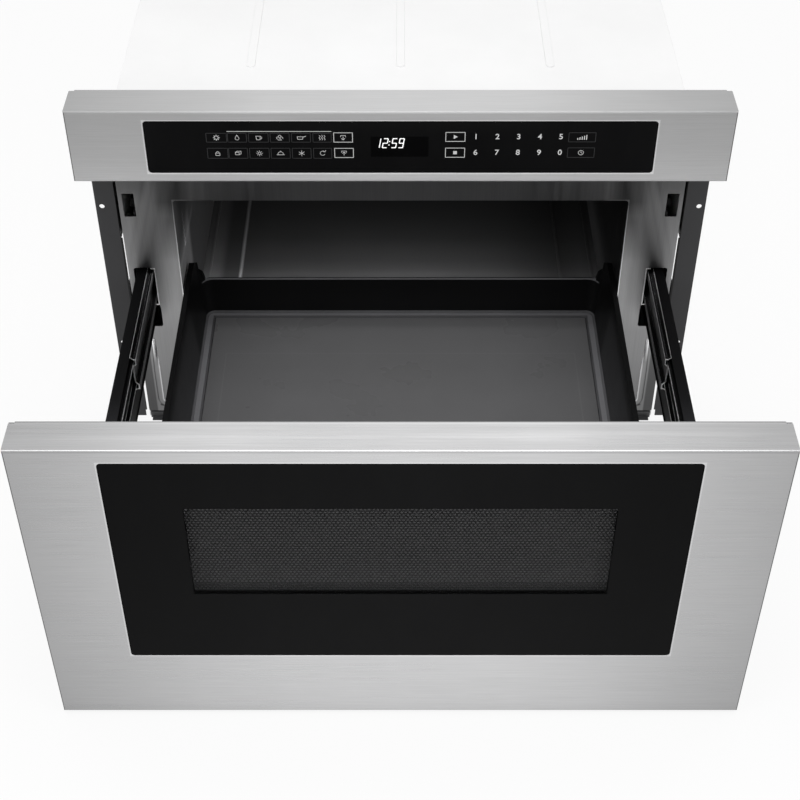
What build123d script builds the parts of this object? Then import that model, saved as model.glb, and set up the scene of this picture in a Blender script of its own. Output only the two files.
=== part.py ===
"""A built-in microwave drawer, drawn with its drawer run out as it is shown.

Row frame, in millimetres: X = 0 is the centreline, Y = 0 is the back face of the mounting
flanges, which is the plane of the cabinet's front, and Z = 0 is the underside of the base.
The front of the appliance looks along -Y. The drawer and all that rides with it is drawn
at the open position.
"""

from math import acos, cos, pi, radians, sin, sqrt, tan
import os

from build123d import *

os.makedirs("parts", exist_ok=True)

# ---------------------------------------------------------------- driving dimensions
# Front
front_width = 606.4
fascia_height = 74.9
front_gap = 3.5  # between the fascia and the drawer front
drawer_height = 325.3
front_lift = 4.3  # drawer front's lower edge above the base
fascia_depth = 38.0
drawer_depth = 33.5
travel = 355.8
skin = 1.0  # front sheet steel
edge_radius = 2.0
return_width = 9.0  # inward returns at the back of the skins
notch_width = 5.0
notch_depth = 2.3

# Case
sheet = 1.2
case_height = 370.0
works_depth = 129.6  # between the cavity's back and the rear panel
case_rim = 12.0
base_front_rim = 8.4
base_groove = 1.6  # between the base's front rim and the face plate
base_lip_reach = 5.0  # base's front lip, forwards from the face plate
base_lip_inset = 3.0
panel_lift = 2.0  # side and rear panels above the underside of the base

# Cavity
cavity_width = 442.0
cavity_height = 192.0
cavity_low = 94.0
cavity_depth = 421.0
cavity_sheet = 1.0
rib_edge = 8.0  # outer floor rib in from the cavity wall
rib_place = 178.0  # inner floor rib out from the centreline
rib_half = 1.2
wall_hole_radius = 1.6
wall_hole_pitch = 6.0

# Mounting flanges
flange_gap = 2.5
flange_width = 20.0
flange_low = 3.0
flange_high = 361.5
flange_return = 26.0
flange_hole_radius = 2.6
flange_hole_edge = 6.0  # hole centre in from the outer edge
flange_hole_low = 107.0
flange_hole_spacing = 172.0
flange_notch_width = 1.6
flange_foot = 12.0
flange_tab_low = 60.0  # the two stretches that reach the side panel
flange_tab_long = 119.0
flange_tab_gap = 61.0
flange_tab_short = 82.0

# Slides, as a section seen from the front: u outwards from the cabinet member, w up
slide_stand = 24.5  # cabinet member's inner face out from the cavity wall's inner face
slide_centre = 180.5
slide_half = 23.5
slide_sheet = 1.2
lip_reach = 5.0
cabinet_slide_beyond = 35.0  # cabinet member's rear end behind the cavity's back
mid_slide_length = 400.0
mid_slide_front = 136.2  # how far the intermediate member stands out of the case
drawer_slide_length = 420.0
race_gap = 3.6  # between facing races, filled by a ball and its clearances
ball_radius = 1.5
ball_fit = 0.15
mid_shift = 2.5  # intermediate member outwards from the cabinet member
mid_recess = 3.0
mid_strip = 6.2  # height of the strip beside each race
mid_flare = 3.3
flare_rise = 2.2
inner_race_gap = 3.8
drawer_member_shift = 5.2
drawer_member_width = 5.5
cage_sheet = 0.6
ball_pitch = 24.0
outer_balls = 8
inner_balls = 6
outer_cage_start = 4.0
inner_cage_start = -120.0
support_clearance = 5.0  # support above and below the cabinet member
support_foot = 12.0

# Drawer arms
arm_shift = 8.5
arm_width = 10.3
arm_sheet = 1.2
arm_top_drop = 4.5  # arm's top below the top of the cabinet member
arm_height = 68.6
arm_foot_reach = 1.0
arm_tab_reach = 14.0
arm_skirt_drop = 1.0
slot_clearance_in = 0.7
slot_clearance_out = 2.8
slot_clearance_top = 0.5
slot_clearance_low = 2.0
slot_wide_extra = 3.6
slot_wide_drop = 28.5
slot_corner = 2.5
arm_to_case = 8.2

# Drawer tub
tray_side_gap = 2.5
tray_floor_gap = 4.0
tray_end_gap = 4.6
tray_height = 84.0
tray_wall = 3.0
tray_rim_width = 5.2
tray_rim_sheet = 2.0
tray_taper = 5.2
tray_corner = 9.0
tray_floor_sheet = 3.0
tray_rear_height = 51.0
tray_front_height = 40.0
ear_reach = 9.0  # ear's width beyond the low part of the rear wall
ear_height = 19.0
ear_length = 24.0
border_width = 9.1
border_rear_width = 8.0
border_slope = 2.0
foot_rise = 9.5
plate_thickness = 5.0
plate_gap = 0.6

# Drawer front
glass_width = 465.0
glass_height = 232.3
glass_top_edge = 13.1  # below the drawer front's top
drawer_glass_thickness = 4.0
glass_corner = 3.5
glass_gap = 0.25
glass_recess = 0.2
window_width = 360.0
window_height = 124.0
window_top_edge = 65.0
screen_setback = 6.0
screen_sheet = 0.8
screen_margin = 9.0
frame_wall = 3.0
frame_gap = 0.3
choke_margin = 18.0  # seal slot outside the cavity opening
choke_slot = 5.0
choke_corner = 14.0

# Latches
latch_offset = 17.05  # latch slot centre outwards from the cabinet member
latch_centre = 280.5
latch_slot_width = 11.5
latch_slot_height = 27.0
latch_corner = 1.0
hook_length = 40.0
hook_width = 4.0
hook_height = 12.0
hook_nose = 8.0
hook_bite = 4.0
bracket_depth = 44.0
bracket_cheek = 1.5
bracket_shelf = 2.0
bracket_foot = 10.0  # shelf's underside below the lever pin
lever_pin_place = 30.0
lever_side_play = 0.4
lever_arm = 14.0
lever_tail = 4.0
lever_head = 6.0
switch_depth = 20.0
lever_gap = 0.6
lever_width = 5.0
lever_pin_radius = 2.0
running_fit = 0.05

# Controls
control_glass_height = 55.0
control_glass_top_edge = 9.8
control_glass_thickness = 3.0
carrier_depth = 14.0
carrier_margin = 6.0
carrier_wall = 7.0
board_sheet = 1.6
display_width = 54.0
display_height = 24.0
key_field_place = 130.0
key_field_half = 40.0
key_field_rise = 12.0
chip_rise = 9.0
post_radius = 5.0

# Drive
tooth_module = 2.0
pinion_teeth = 16
pressure_angle = 20.0
rack_width = 10.0
rack_height = 12.0
rack_low = 60.0
rack_length = 452.0
tooth_play = 0.35  # taken off each tooth's thickness
root_play = 0.5
pinion_place = 60.0  # pinion axis behind the cabinet face
pinion_width = 12.0
shaft_radius = 4.0
motor_radius = 19.0
motor_length = 62.0
gearbox_length = 30.0
gearbox_size = 44.0
gearbox_side_gap = 3.0
gearbox_top_cut = 8.0
gearbox_low_cut = 4.0
motor_boss = 4.0
pinion_collar = 4.0
pinion_collar_wall = 3.0
motor_foot = 8.0
rack_plate_half = 22.0
rack_plate_sheet = 4.0
rack_plate_drop = 6.0
rack_plate_rise = 12.0
rack_slot_side = 7.0
rack_guide_place = 30.0  # guide behind the pinion's axis
rack_guide_length = 60.0
rack_guide_grip = 8.0
rack_guide_foot = 14.0
rack_guide_play = 0.4
rack_guide_wall = 2.0

# Works behind and above the cavity
guide_width = 96.0
guide_height = 42.0
guide_front = 170.0
guide_beyond = 94.0  # waveguide's rear end behind the cavity's back
port_width = 80.0
port_length = 60.0
port_front = 190.0
magnetron_width = 84.0
magnetron_height = 88.0
magnetron_length = 80.0
antenna_radius = 9.5
antenna_height = 24.0
fin_count = 7
fin_sheet = 1.5
yoke_sheet = 4.0
filter_box_height = 26.0
tube_radius = 16.0
antenna_play = 2.0
stirrer_radius = 62.0
stirrer_drop = 6.0
stirrer_blade_width = 26.0
stirrer_sheet = 1.2
stirrer_shaft = 3.0
stirrer_motor_radius = 25.0
stirrer_motor_height = 18.0
cover_depth = 14.0
cover_margin = 12.0
cover_wall = 1.5
stirrer_bore = 12.0
stirrer_ear = 9.0
stirrer_ear_half = 6.0
stirrer_ear_sheet = 2.0
stirrer_shaft_play = 1.0
stirrer_end_play = 0.5
fan_size = 126.0
fan_depth = 38.0
fan_bore_radius = 56.0
fan_tip_gap = 2.0
fan_hub_radius = 21.0
fan_hub_depth = 26.0
fan_corner = 8.0
fan_spoke = 5.0
fan_spider = 3.0
fan_shaft_radius = 2.5
fan_motor_depth = 9.0
fan_motor_inset = 4.0
fan_end_play = 1.0
fan_back = 7.0
fan_blade_width = 18.0
fan_blade_sheet = 2.0
fan_blade_round = 0.8
fan_blade_root = 3.0
fan_blade_angle = 40.0
fan_blades = 7
fan_centre_x = -170.0
fan_centre_z = 100.0
transformer_width = 92.0
transformer_length = 74.0
transformer_height = 78.0
transformer_x = 160.0
transformer_core = 20.0
transformer_foot = 10.0
can_width = 54.0
can_height = 34.0
can_length = 90.0
can_x = 64.0
terminal_reach = 8.0
terminal_radius = 3.0
terminal_length = 5.0
strap_half = 8.0
filter_width = 60.0
filter_length = 80.0
filter_x = -62.0
standoff_radius = 3.0
standoff_height = 8.0
standoff_inset = 5.0
coil_radius = 11.0
coil_height = 14.0
coil_place = (-12.0, -16.0)  # from the board's centre
block_size = (20.0, 32.0, 8.4)
block_place = (14.0, 12.0)
lamp_from_back = 91.0
lamp_plate = 20.0
lamp_sheet = 2.0
lamp_seat = 12.0
lamp_bulb_radius = 9.0
lamp_bulb_gap = 3.0
lamp_bulb_reach = 14.0
lamp_base_length = 10.0
lamp_height = 246.0
gland_x = -70.0
gland_z = 40.0
gland_radius = 12.0
gland_bore = 5.0
gland_lip = 4.0
gland_lip_depth = 2.5
gland_inside = 8.0
screw_head_radius = 4.0
screw_head_height = 1.6
screw_edge = 8.0

# ---------------------------------------------------------------- worked-out places
half_front = front_width / 2
drawer_low = front_lift
drawer_top = drawer_low + drawer_height
fascia_low = drawer_top + front_gap
fascia_top = fascia_low + fascia_height

case_depth = cavity_depth + cavity_sheet + works_depth + sheet
plate_front = -sheet
fascia_front = plate_front - fascia_depth
drawer_front = fascia_front - travel
drawer_back = drawer_front + drawer_depth

half_cavity = cavity_width / 2
cavity_high = cavity_low + cavity_height
slide_inner = half_cavity + slide_stand + cavity_sheet
arm_inner = slide_inner + arm_shift
arm_outer = arm_inner + arm_width
half_case = arm_outer + arm_to_case
face_low = base_front_rim + base_groove
flange_inner = half_case + flange_gap
flange_outer = flange_inner + flange_width
cabinet_slide_length = cavity_depth + cabinet_slide_beyond
slide_top = slide_centre + slide_half
arm_top = slide_top - arm_top_drop
arm_low = arm_top - arm_height
slot_inner = slide_inner - slot_clearance_in
slot_outer = arm_outer + slot_clearance_out
slot_top = slide_top + slot_clearance_top
slot_low = arm_low - slot_clearance_low
latch_x = slide_inner + latch_offset
rear_inside = case_depth - sheet
top_inside = case_height - sheet

tray_half = half_cavity - tray_side_gap
tray_low = cavity_low + tray_floor_gap
tray_top = tray_low + tray_height
tray_rear = cavity_depth - tray_end_gap - travel
tray_floor_top = tray_low + tray_floor_sheet

glass_top = drawer_top - glass_top_edge
glass_low = glass_top - glass_height
window_top = drawer_top - window_top_edge
window_low = window_top - window_height
drawer_glass_front = drawer_front + glass_recess
drawer_glass_back = drawer_glass_front + drawer_glass_thickness
screen_front = drawer_glass_back + screen_setback

choke_half = half_cavity + choke_margin
choke_low = cavity_low - choke_margin
choke_high = cavity_high + choke_margin

rack_back = drawer_back + rack_length
pitch_radius = tooth_module * pinion_teeth / 2
pitch_height = rack_low + tooth_module
pinion_centre = pitch_height - pitch_radius

ceiling_top = cavity_high + cavity_sheet
port_centre = port_front + port_length / 2
guide_rear = cavity_depth + cavity_sheet + guide_beyond
lamp_place = cavity_depth - lamp_from_back


# ---------------------------------------------------------------- shared helpers
def span(x, y, z, mode=Mode.ADD):
    """A block that fills the space between pairs of limits, in the part being built."""
    with Locations(((x[0] + x[1]) / 2, (y[0] + y[1]) / 2, (z[0] + z[1]) / 2)):
        Box(x[1] - x[0], y[1] - y[0], z[1] - z[0], mode=mode)


def front_plane(y):
    """The plane at depth y whose sketch axes are X and Z; a positive extrusion goes to -Y."""
    return Plane.XZ.offset(-y)


def rounded_rectangle(x, z, radius):
    """A rectangle between limits in X and Z, with round corners, in the sketch being drawn."""
    with Locations(((x[0] + x[1]) / 2, (z[0] + z[1]) / 2)):
        RectangleRounded(x[1] - x[0], z[1] - z[0], radius)


def rounded_rectangle_cut(x, z, radius):
    """Takes a rectangle with round corners out of the sketch being drawn."""
    with Locations(((x[0] + x[1]) / 2, (z[0] + z[1]) / 2)):
        RectangleRounded(x[1] - x[0], z[1] - z[0], radius, mode=Mode.SUBTRACT)


def write(piece, label):
    """Names a finished piece and stores it."""
    piece.label = label
    export_step(piece, f"parts/{label}.step")


def write_pair(piece, label):
    """Stores a right-hand piece and its mirror image."""
    write(piece, f"{label}_right")
    write(mirror(piece, about=Plane.YZ), f"{label}_left")


# ---------------------------------------------------------------- case
def make_base_pan():
    half = half_case - sheet
    with BuildPart() as base_pan:
        span((-half, half), (-sheet, rear_inside), (0, sheet))
        for side in (-1, 1):
            inner, outer = sorted((side * (half - sheet), side * half))
            span((inner, outer), (0, rear_inside), (0, case_rim))
        span((-half, half), (-sheet, 0), (0, base_front_rim))
        lip_half = half_case - base_lip_inset
        span((-lip_half, lip_half), (plate_front - base_lip_reach, plate_front), (0, sheet))
        span((-half, half), (rear_inside - sheet, rear_inside), (0, case_rim))
    write(base_pan.part, "base_pan")


def make_side_panels():
    slot_length = 34.0
    slot_height = 4.0
    slot_pitch = 12.0
    slot_rows = 8
    with BuildPart() as side_panel:
        span((half_case - sheet, half_case), (0, rear_inside), (panel_lift, top_inside))
        span((half_case - case_rim, half_case), (0, rear_inside), (top_inside - sheet, top_inside))
        vent_place = rear_inside - 2 * slot_length
        with BuildSketch(Plane.YZ.offset(half_case)):
            with Locations((vent_place, case_height / 2)):
                with GridLocations(slot_length + slot_pitch, slot_pitch, 2, slot_rows):
                    SlotOverall(slot_length, slot_height)
        extrude(amount=-sheet, mode=Mode.SUBTRACT)
    write_pair(side_panel.part, "side_panel")


def make_top_cover():
    bead_width = 8.0
    bead_rise = 0.8
    with BuildPart() as top_cover:
        span((-half_case, half_case), (0, case_depth), (top_inside, case_height))
        with BuildSketch(Plane.XY.offset(case_height)):
            with Locations((0, cavity_depth / 2)):
                with GridLocations(cavity_width / 3, 0, 3, 1):
                    SlotOverall(cavity_depth / 2, bead_width, rotation=90)
        extrude(amount=bead_rise)
    write(top_cover.part, "top_cover")


def make_rear_panel():
    half = half_case - sheet
    vent_size = (26.0, 4.0)
    vent_pitch = (32.0, 10.0)
    vent_rows = 8
    with BuildPart() as rear_panel:
        span((-half, half), (rear_inside, case_depth), (panel_lift, top_inside))
        with BuildSketch(front_plane(case_depth)):
            with Locations((fan_centre_x, fan_centre_z)):
                with GridLocations(*vent_pitch, 3, vent_rows):
                    SlotOverall(*vent_size)
            with Locations((-fan_centre_x, top_inside - vent_rows * vent_pitch[1])):
                with GridLocations(*vent_pitch, 5, vent_rows):
                    SlotOverall(*vent_size)
            with Locations((gland_x, gland_z)):
                Circle(gland_radius)
        extrude(amount=sheet, mode=Mode.SUBTRACT)
    write(rear_panel.part, "rear_panel")


def make_face_plate():
    rack_slot_width = rack_width + 2 * rack_slot_side
    with BuildPart() as face_plate:
        with BuildSketch(front_plane(0)):
            rounded_rectangle((-half_case, half_case), (face_low, case_height), edge_radius)
            rounded_rectangle_cut((-half_cavity, half_cavity), (cavity_low, cavity_high), glass_corner)
            for side in (-1, 1):
                low, high = sorted((side * slot_inner, side * slot_outer))
                rounded_rectangle_cut((low, high), (slot_low, slot_top), slot_corner)
                low, high = sorted((side * slot_inner, side * (slot_outer + slot_wide_extra)))
                rounded_rectangle_cut((low, high), (slot_low, slot_top - slot_wide_drop), slot_corner)
                with Locations((side * latch_x, latch_centre)):
                    RectangleRounded(
                        latch_slot_width, latch_slot_height, latch_corner, mode=Mode.SUBTRACT
                    )
            rounded_rectangle_cut(
                (-rack_slot_width / 2, rack_slot_width / 2),
                (rack_low - rack_slot_side, rack_low + rack_height + rack_slot_side),
                slot_corner,
            )
        extrude(amount=sheet)
    write(face_plate.part, "face_plate")


def make_mounting_flanges():
    first_top = flange_tab_low + flange_tab_long
    second_low = first_top + flange_tab_gap
    tabs = ((flange_tab_low, first_top), (second_low, second_low + flange_tab_short))
    with BuildPart() as flange:
        with BuildSketch(front_plane(0)):
            rounded_rectangle((flange_inner, flange_outer), (flange_low, flange_high), sheet)
            with Locations((flange_inner + flange_notch_width / 2, flange_low + base_front_rim / 2)):
                Rectangle(flange_notch_width, base_front_rim, mode=Mode.SUBTRACT)
            with Locations((flange_outer - flange_hole_edge, flange_hole_low)):
                with Locations((0, 0), (0, flange_hole_spacing)):
                    Circle(flange_hole_radius, mode=Mode.SUBTRACT)
        extrude(amount=sheet)
        for low, high in tabs:
            span((flange_inner, flange_inner + sheet), (-sheet, flange_return), (low, high))
            span((half_case, flange_inner), (flange_return - flange_foot, flange_return), (low, high))
    write_pair(flange.part, "mounting_flange")


# ---------------------------------------------------------------- cavity
def make_cavity():
    outer = half_cavity + cavity_sheet
    with BuildPart() as wall:
        span((half_cavity, outer), (0, cavity_depth + cavity_sheet), (cavity_low, cavity_high))
        with BuildSketch(Plane.YZ.offset(outer)):
            with Locations((lamp_place, lamp_height)):
                with GridLocations(wall_hole_pitch, wall_hole_pitch, 9, 5):
                    Circle(wall_hole_radius)
        extrude(amount=-cavity_sheet, mode=Mode.SUBTRACT)
    write_pair(wall.part, "cavity_wall")

    with BuildPart() as back:
        span(
            (-half_cavity, half_cavity),
            (cavity_depth, cavity_depth + cavity_sheet),
            (cavity_low, cavity_high),
        )
        with BuildSketch(front_plane(cavity_depth)):
            with Locations((-half_cavity / 2, (cavity_low + cavity_high) / 2)):
                with GridLocations(wall_hole_pitch, wall_hole_pitch, 12, 6):
                    Circle(wall_hole_radius)
        extrude(amount=-cavity_sheet, mode=Mode.SUBTRACT)
    write(back.part, "cavity_back")

    with BuildPart() as floor:
        span((-outer, outer), (0, cavity_depth + cavity_sheet), (cavity_low - cavity_sheet, cavity_low))
        # raised ribs along the floor, under the tub's edges
        for side in (-1, 1):
            for out in (half_cavity - rib_edge, rib_place):
                place = side * out
                span(
                    (place - rib_half, place + rib_half),
                    (rib_edge, cavity_depth - rib_edge),
                    (cavity_low, cavity_low + rib_half),
                )
    write(floor.part, "cavity_floor")

    with BuildPart() as ceiling:
        span((-outer, outer), (0, cavity_depth + cavity_sheet), (cavity_high, ceiling_top))
        span(
            (-port_width / 2, port_width / 2),
            (port_front, port_front + port_length),
            (cavity_high, ceiling_top),
            Mode.SUBTRACT,
        )
    write(ceiling.part, "cavity_ceiling")


# ---------------------------------------------------------------- slides
def section_plane(y):
    """The plane at depth y for a slide's section, with its centre on the cabinet member's face."""
    return Plane(origin=(slide_inner, y, slide_centre), x_dir=(1, 0, 0), z_dir=(0, -1, 0))


def up_and_down(points):
    """A closed outline from the points of its upper half and their mirror images below."""
    return points + [(u, -w) for u, w in reversed(points)]


def make_slide_supports():
    reach = slide_stand
    half = slide_half + support_clearance
    foot = support_foot
    with BuildPart() as support:
        with BuildSketch(section_plane(0)):
            with BuildLine():
                Polyline(
                    up_and_down(
                        [
                            (-sheet, half - sheet),
                            (-reach, half - sheet),
                            (-reach, half + foot),
                            (-reach + sheet, half + foot),
                            (-reach + sheet, half),
                            (0, half),
                        ]
                    ),
                    close=True,
                )
            make_face()
        extrude(amount=-(cabinet_slide_length - sheet))
        mirror(about=Plane.YZ)
    write(support.part, "slide_supports")


def make_cabinet_slides():
    with BuildPart() as member:
        with BuildSketch(section_plane(-sheet)):
            with BuildLine():
                Polyline(
                    up_and_down(
                        [
                            (slide_sheet, slide_half - slide_sheet),
                            (lip_reach, slide_half - slide_sheet),
                            (lip_reach, slide_half),
                            (0, slide_half),
                        ]
                    ),
                    close=True,
                )
            make_face()
        extrude(amount=-cabinet_slide_length)
        fillet(member.edges().filter_by(Axis.Y).sort_by(Axis.X)[:2], slide_sheet / 2)
    write_pair(member.part, "cabinet_slide")


mid_half = slide_half - slide_sheet - race_gap
inner_half = mid_half - slide_sheet - inner_race_gap


def make_mid_slides():
    low = mid_shift
    deep = mid_shift + mid_recess
    flat = mid_shift + 2 * slide_sheet
    tip = flat + mid_flare
    upper = mid_half - mid_strip
    with BuildPart() as member:
        with BuildSketch(section_plane(-mid_slide_front)):
            with BuildLine():
                Polyline(
                    up_and_down(
                        [
                            (deep, upper - mid_recess),
                            (low, upper),
                            (low, mid_half),
                            (flat, mid_half),
                            (tip, mid_half + flare_rise),
                            (tip, mid_half + flare_rise - slide_sheet),
                            (flat, mid_half - slide_sheet),
                            (low + slide_sheet, mid_half - slide_sheet),
                            (low + slide_sheet, upper + slide_sheet / 2),
                            (deep + slide_sheet, upper - mid_recess + slide_sheet / 2),
                        ]
                    ),
                    close=True,
                )
            make_face()
        extrude(amount=-mid_slide_length)
    write_pair(member.part, "mid_slide")


def make_drawer_slides():
    near = drawer_member_shift
    far = near + drawer_member_width
    with BuildPart() as member:
        with BuildSketch(section_plane(drawer_back)):
            with BuildLine():
                Polyline(
                    up_and_down(
                        [
                            (far - slide_sheet, inner_half - slide_sheet),
                            (near, inner_half - slide_sheet),
                            (near, inner_half),
                            (far, inner_half),
                        ]
                    ),
                    close=True,
                )
            make_face()
        extrude(amount=-drawer_slide_length)
    write_pair(member.part, "drawer_slide")


def make_outer_cages():
    plane_near = slide_sheet + (mid_shift - slide_sheet - cage_sheet) / 2
    ball_u = slide_sheet + ball_radius + 2 * ball_fit
    ball_w = slide_half - slide_sheet - race_gap / 2
    start = outer_cage_start
    length = outer_balls * ball_pitch
    hole = sqrt(ball_radius**2 - (ball_u - plane_near - cage_sheet) ** 2) + ball_fit
    with BuildPart() as cage:
        strip_plane = Plane(
            origin=(slide_inner + plane_near, 0, slide_centre),
            x_dir=(0, 1, 0),
            z_dir=(1, 0, 0),
        )
        with BuildSketch(strip_plane):
            with Locations((start + length / 2, 0)):
                Rectangle(length, 2 * (ball_w + hole + ball_fit))
                with GridLocations(ball_pitch, 2 * ball_w, outer_balls, 2):
                    Circle(hole, mode=Mode.SUBTRACT)
        extrude(amount=cage_sheet)
        for place in range(outer_balls):
            for side in (-1, 1):
                with Locations(
                    (
                        slide_inner + ball_u,
                        start + (place + 0.5) * ball_pitch,
                        slide_centre + side * ball_w,
                    )
                ):
                    Sphere(ball_radius)
    write_pair(cage.part, "outer_cage")


def make_inner_cages():
    ball_u = drawer_member_shift + ball_radius
    ball_w = mid_half - slide_sheet - inner_race_gap / 2
    length = inner_balls * ball_pitch
    start = inner_cage_start
    hole = ball_radius + ball_fit
    strip_half = hole + 3 * ball_fit
    with BuildPart() as cage:
        for side in (-1, 1):
            height = slide_centre + side * ball_w - cage_sheet / 2
            with BuildSketch(Plane.XY.offset(height)):
                with Locations((slide_inner + ball_u, start + length / 2)):
                    Rectangle(2 * strip_half, length)
                    with GridLocations(0, ball_pitch, 1, inner_balls):
                        Circle(hole, mode=Mode.SUBTRACT)
            extrude(amount=cage_sheet)
            for place in range(inner_balls):
                with Locations(
                    (
                        slide_inner + ball_u,
                        start + (place + 0.5) * ball_pitch,
                        slide_centre + side * ball_w,
                    )
                ):
                    Sphere(ball_radius)
    write_pair(cage.part, "inner_cage")


def make_drawer_arms():
    """The black arms: a channel over the drawer member, with a pad that the member is fixed to."""
    top = arm_top - slide_centre
    low = arm_low - slide_centre
    near = arm_shift
    far = arm_shift + arm_width
    pad_near = drawer_member_shift + drawer_member_width
    pad_half = inner_half - slide_sheet
    skirt_top = -mid_half - flare_rise - arm_skirt_drop
    with BuildPart() as arm:
        with BuildSketch(section_plane(drawer_back)):
            with BuildLine():
                Polyline(
                    [
                        (near, top),
                        (far, top),
                        (far, low),
                        (near - arm_foot_reach, low),
                        (near - arm_foot_reach, low + arm_sheet),
                        (near, low + arm_sheet),
                        (near, skirt_top),
                        (near + arm_sheet, skirt_top),
                        (near + arm_sheet, low + arm_sheet),
                        (far - arm_sheet, low + arm_sheet),
                        (far - arm_sheet, -pad_half),
                        (pad_near, -pad_half),
                        (pad_near, pad_half),
                        (far - arm_sheet, pad_half),
                        (far - arm_sheet, top - arm_sheet),
                        (near, top - arm_sheet),
                    ],
                    close=True,
                )
            make_face()
        extrude(amount=-drawer_slide_length)
        # the front end spreads into a tab on the back of the drawer front
        span(
            (slide_inner + far - arm_sheet, slide_inner + far + arm_tab_reach),
            (drawer_back, drawer_back + arm_sheet),
            (arm_low, arm_top),
        )
    write_pair(arm.part, "drawer_arm")


# ---------------------------------------------------------------- drawer front
def make_skin(low, high, front, back, opening_low, opening_high, opening_half, label):
    """A folded front: a face with returns on four sides, an opening, and lips at the back."""
    with BuildPart() as shell:
        span((-half_front, half_front), (front, back), (low, high))
        front_edges = shell.faces().sort_by(Axis.Y)[0].edges()
        fillet(front_edges, edge_radius)
        span(
            (-half_front + skin, half_front - skin),
            (front + skin, back - skin),
            (low + skin, high - skin),
            Mode.SUBTRACT,
        )
        span(
            (-half_front + return_width, half_front - return_width),
            (back - skin, back),
            (low + return_width, high - return_width),
            Mode.SUBTRACT,
        )
        with BuildSketch(front_plane(front)):
            rounded_rectangle((-opening_half, opening_half), (opening_low, opening_high), glass_corner)
        extrude(amount=-skin, mode=Mode.SUBTRACT)
        # relief notches where the top return meets the side returns
        for side in (-1, 1):
            inner, outer = sorted((side * (half_front - notch_width), side * half_front))
            span((inner, outer), (back - notch_depth, back), (high - skin, high), Mode.SUBTRACT)
    write(shell.part, label)


def make_drawer_front():
    half_glass = glass_width / 2
    make_skin(
        drawer_low,
        drawer_top,
        drawer_front,
        drawer_back,
        glass_low - glass_gap,
        glass_top + glass_gap,
        half_glass + glass_gap,
        "drawer_skin",
    )
    with BuildPart() as glass:
        with BuildSketch(front_plane(drawer_glass_front)):
            rounded_rectangle((-half_glass, half_glass), (glass_low, glass_top), glass_corner)
        extrude(amount=-drawer_glass_thickness)
    write(glass.part, "drawer_glass")

    half_window = window_width / 2
    with BuildPart() as screen:
        span(
            (-half_window - screen_margin, half_window + screen_margin),
            (screen_front, screen_front + screen_sheet),
            (window_low - screen_margin, window_top + screen_margin),
        )
    write(screen.part, "window_screen")

    # the frame fills the skin: a rim, a web behind the glass, a back panel and a tunnel
    # round the window; a slot in the back panel opens the hollow to the seal round the cavity
    outer = half_front - skin - frame_gap
    low = drawer_low + skin + frame_gap
    high = drawer_top - skin - frame_gap
    rear = drawer_back - skin
    screen_back = screen_front + screen_sheet
    seat_half = half_window + screen_margin
    seat_low = window_low - screen_margin
    seat_high = window_top + screen_margin
    with BuildPart() as frame:
        span((-outer, outer), (drawer_glass_back, rear), (low, high))
        span(
            (-outer + return_width, outer - return_width),
            (rear, drawer_back),
            (low + return_width, high - return_width),
        )
        span(
            (-outer + frame_wall, outer - frame_wall),
            (drawer_glass_back + frame_wall, drawer_back - frame_wall),
            (low + frame_wall, high - frame_wall),
            Mode.SUBTRACT,
        )
        with BuildSketch(front_plane(drawer_back)):
            rounded_rectangle(
                (-choke_half - choke_slot, choke_half + choke_slot),
                (choke_low - choke_slot, choke_high + choke_slot),
                choke_corner,
            )
            rounded_rectangle_cut(
                (-choke_half, choke_half), (choke_low, choke_high), choke_corner - choke_slot
            )
        extrude(amount=frame_wall, mode=Mode.SUBTRACT)
        span(
            (-seat_half - frame_wall, seat_half + frame_wall),
            (drawer_glass_back, drawer_back - frame_wall),
            (seat_low - frame_wall, seat_high + frame_wall),
        )
        span(
            (-seat_half, seat_half),
            (drawer_glass_back, screen_back),
            (seat_low, seat_high),
            Mode.SUBTRACT,
        )
        span(
            (-half_window, half_window),
            (drawer_glass_back, drawer_back),
            (window_low, window_top),
            Mode.SUBTRACT,
        )
    write(frame.part, "drawer_frame")


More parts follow.
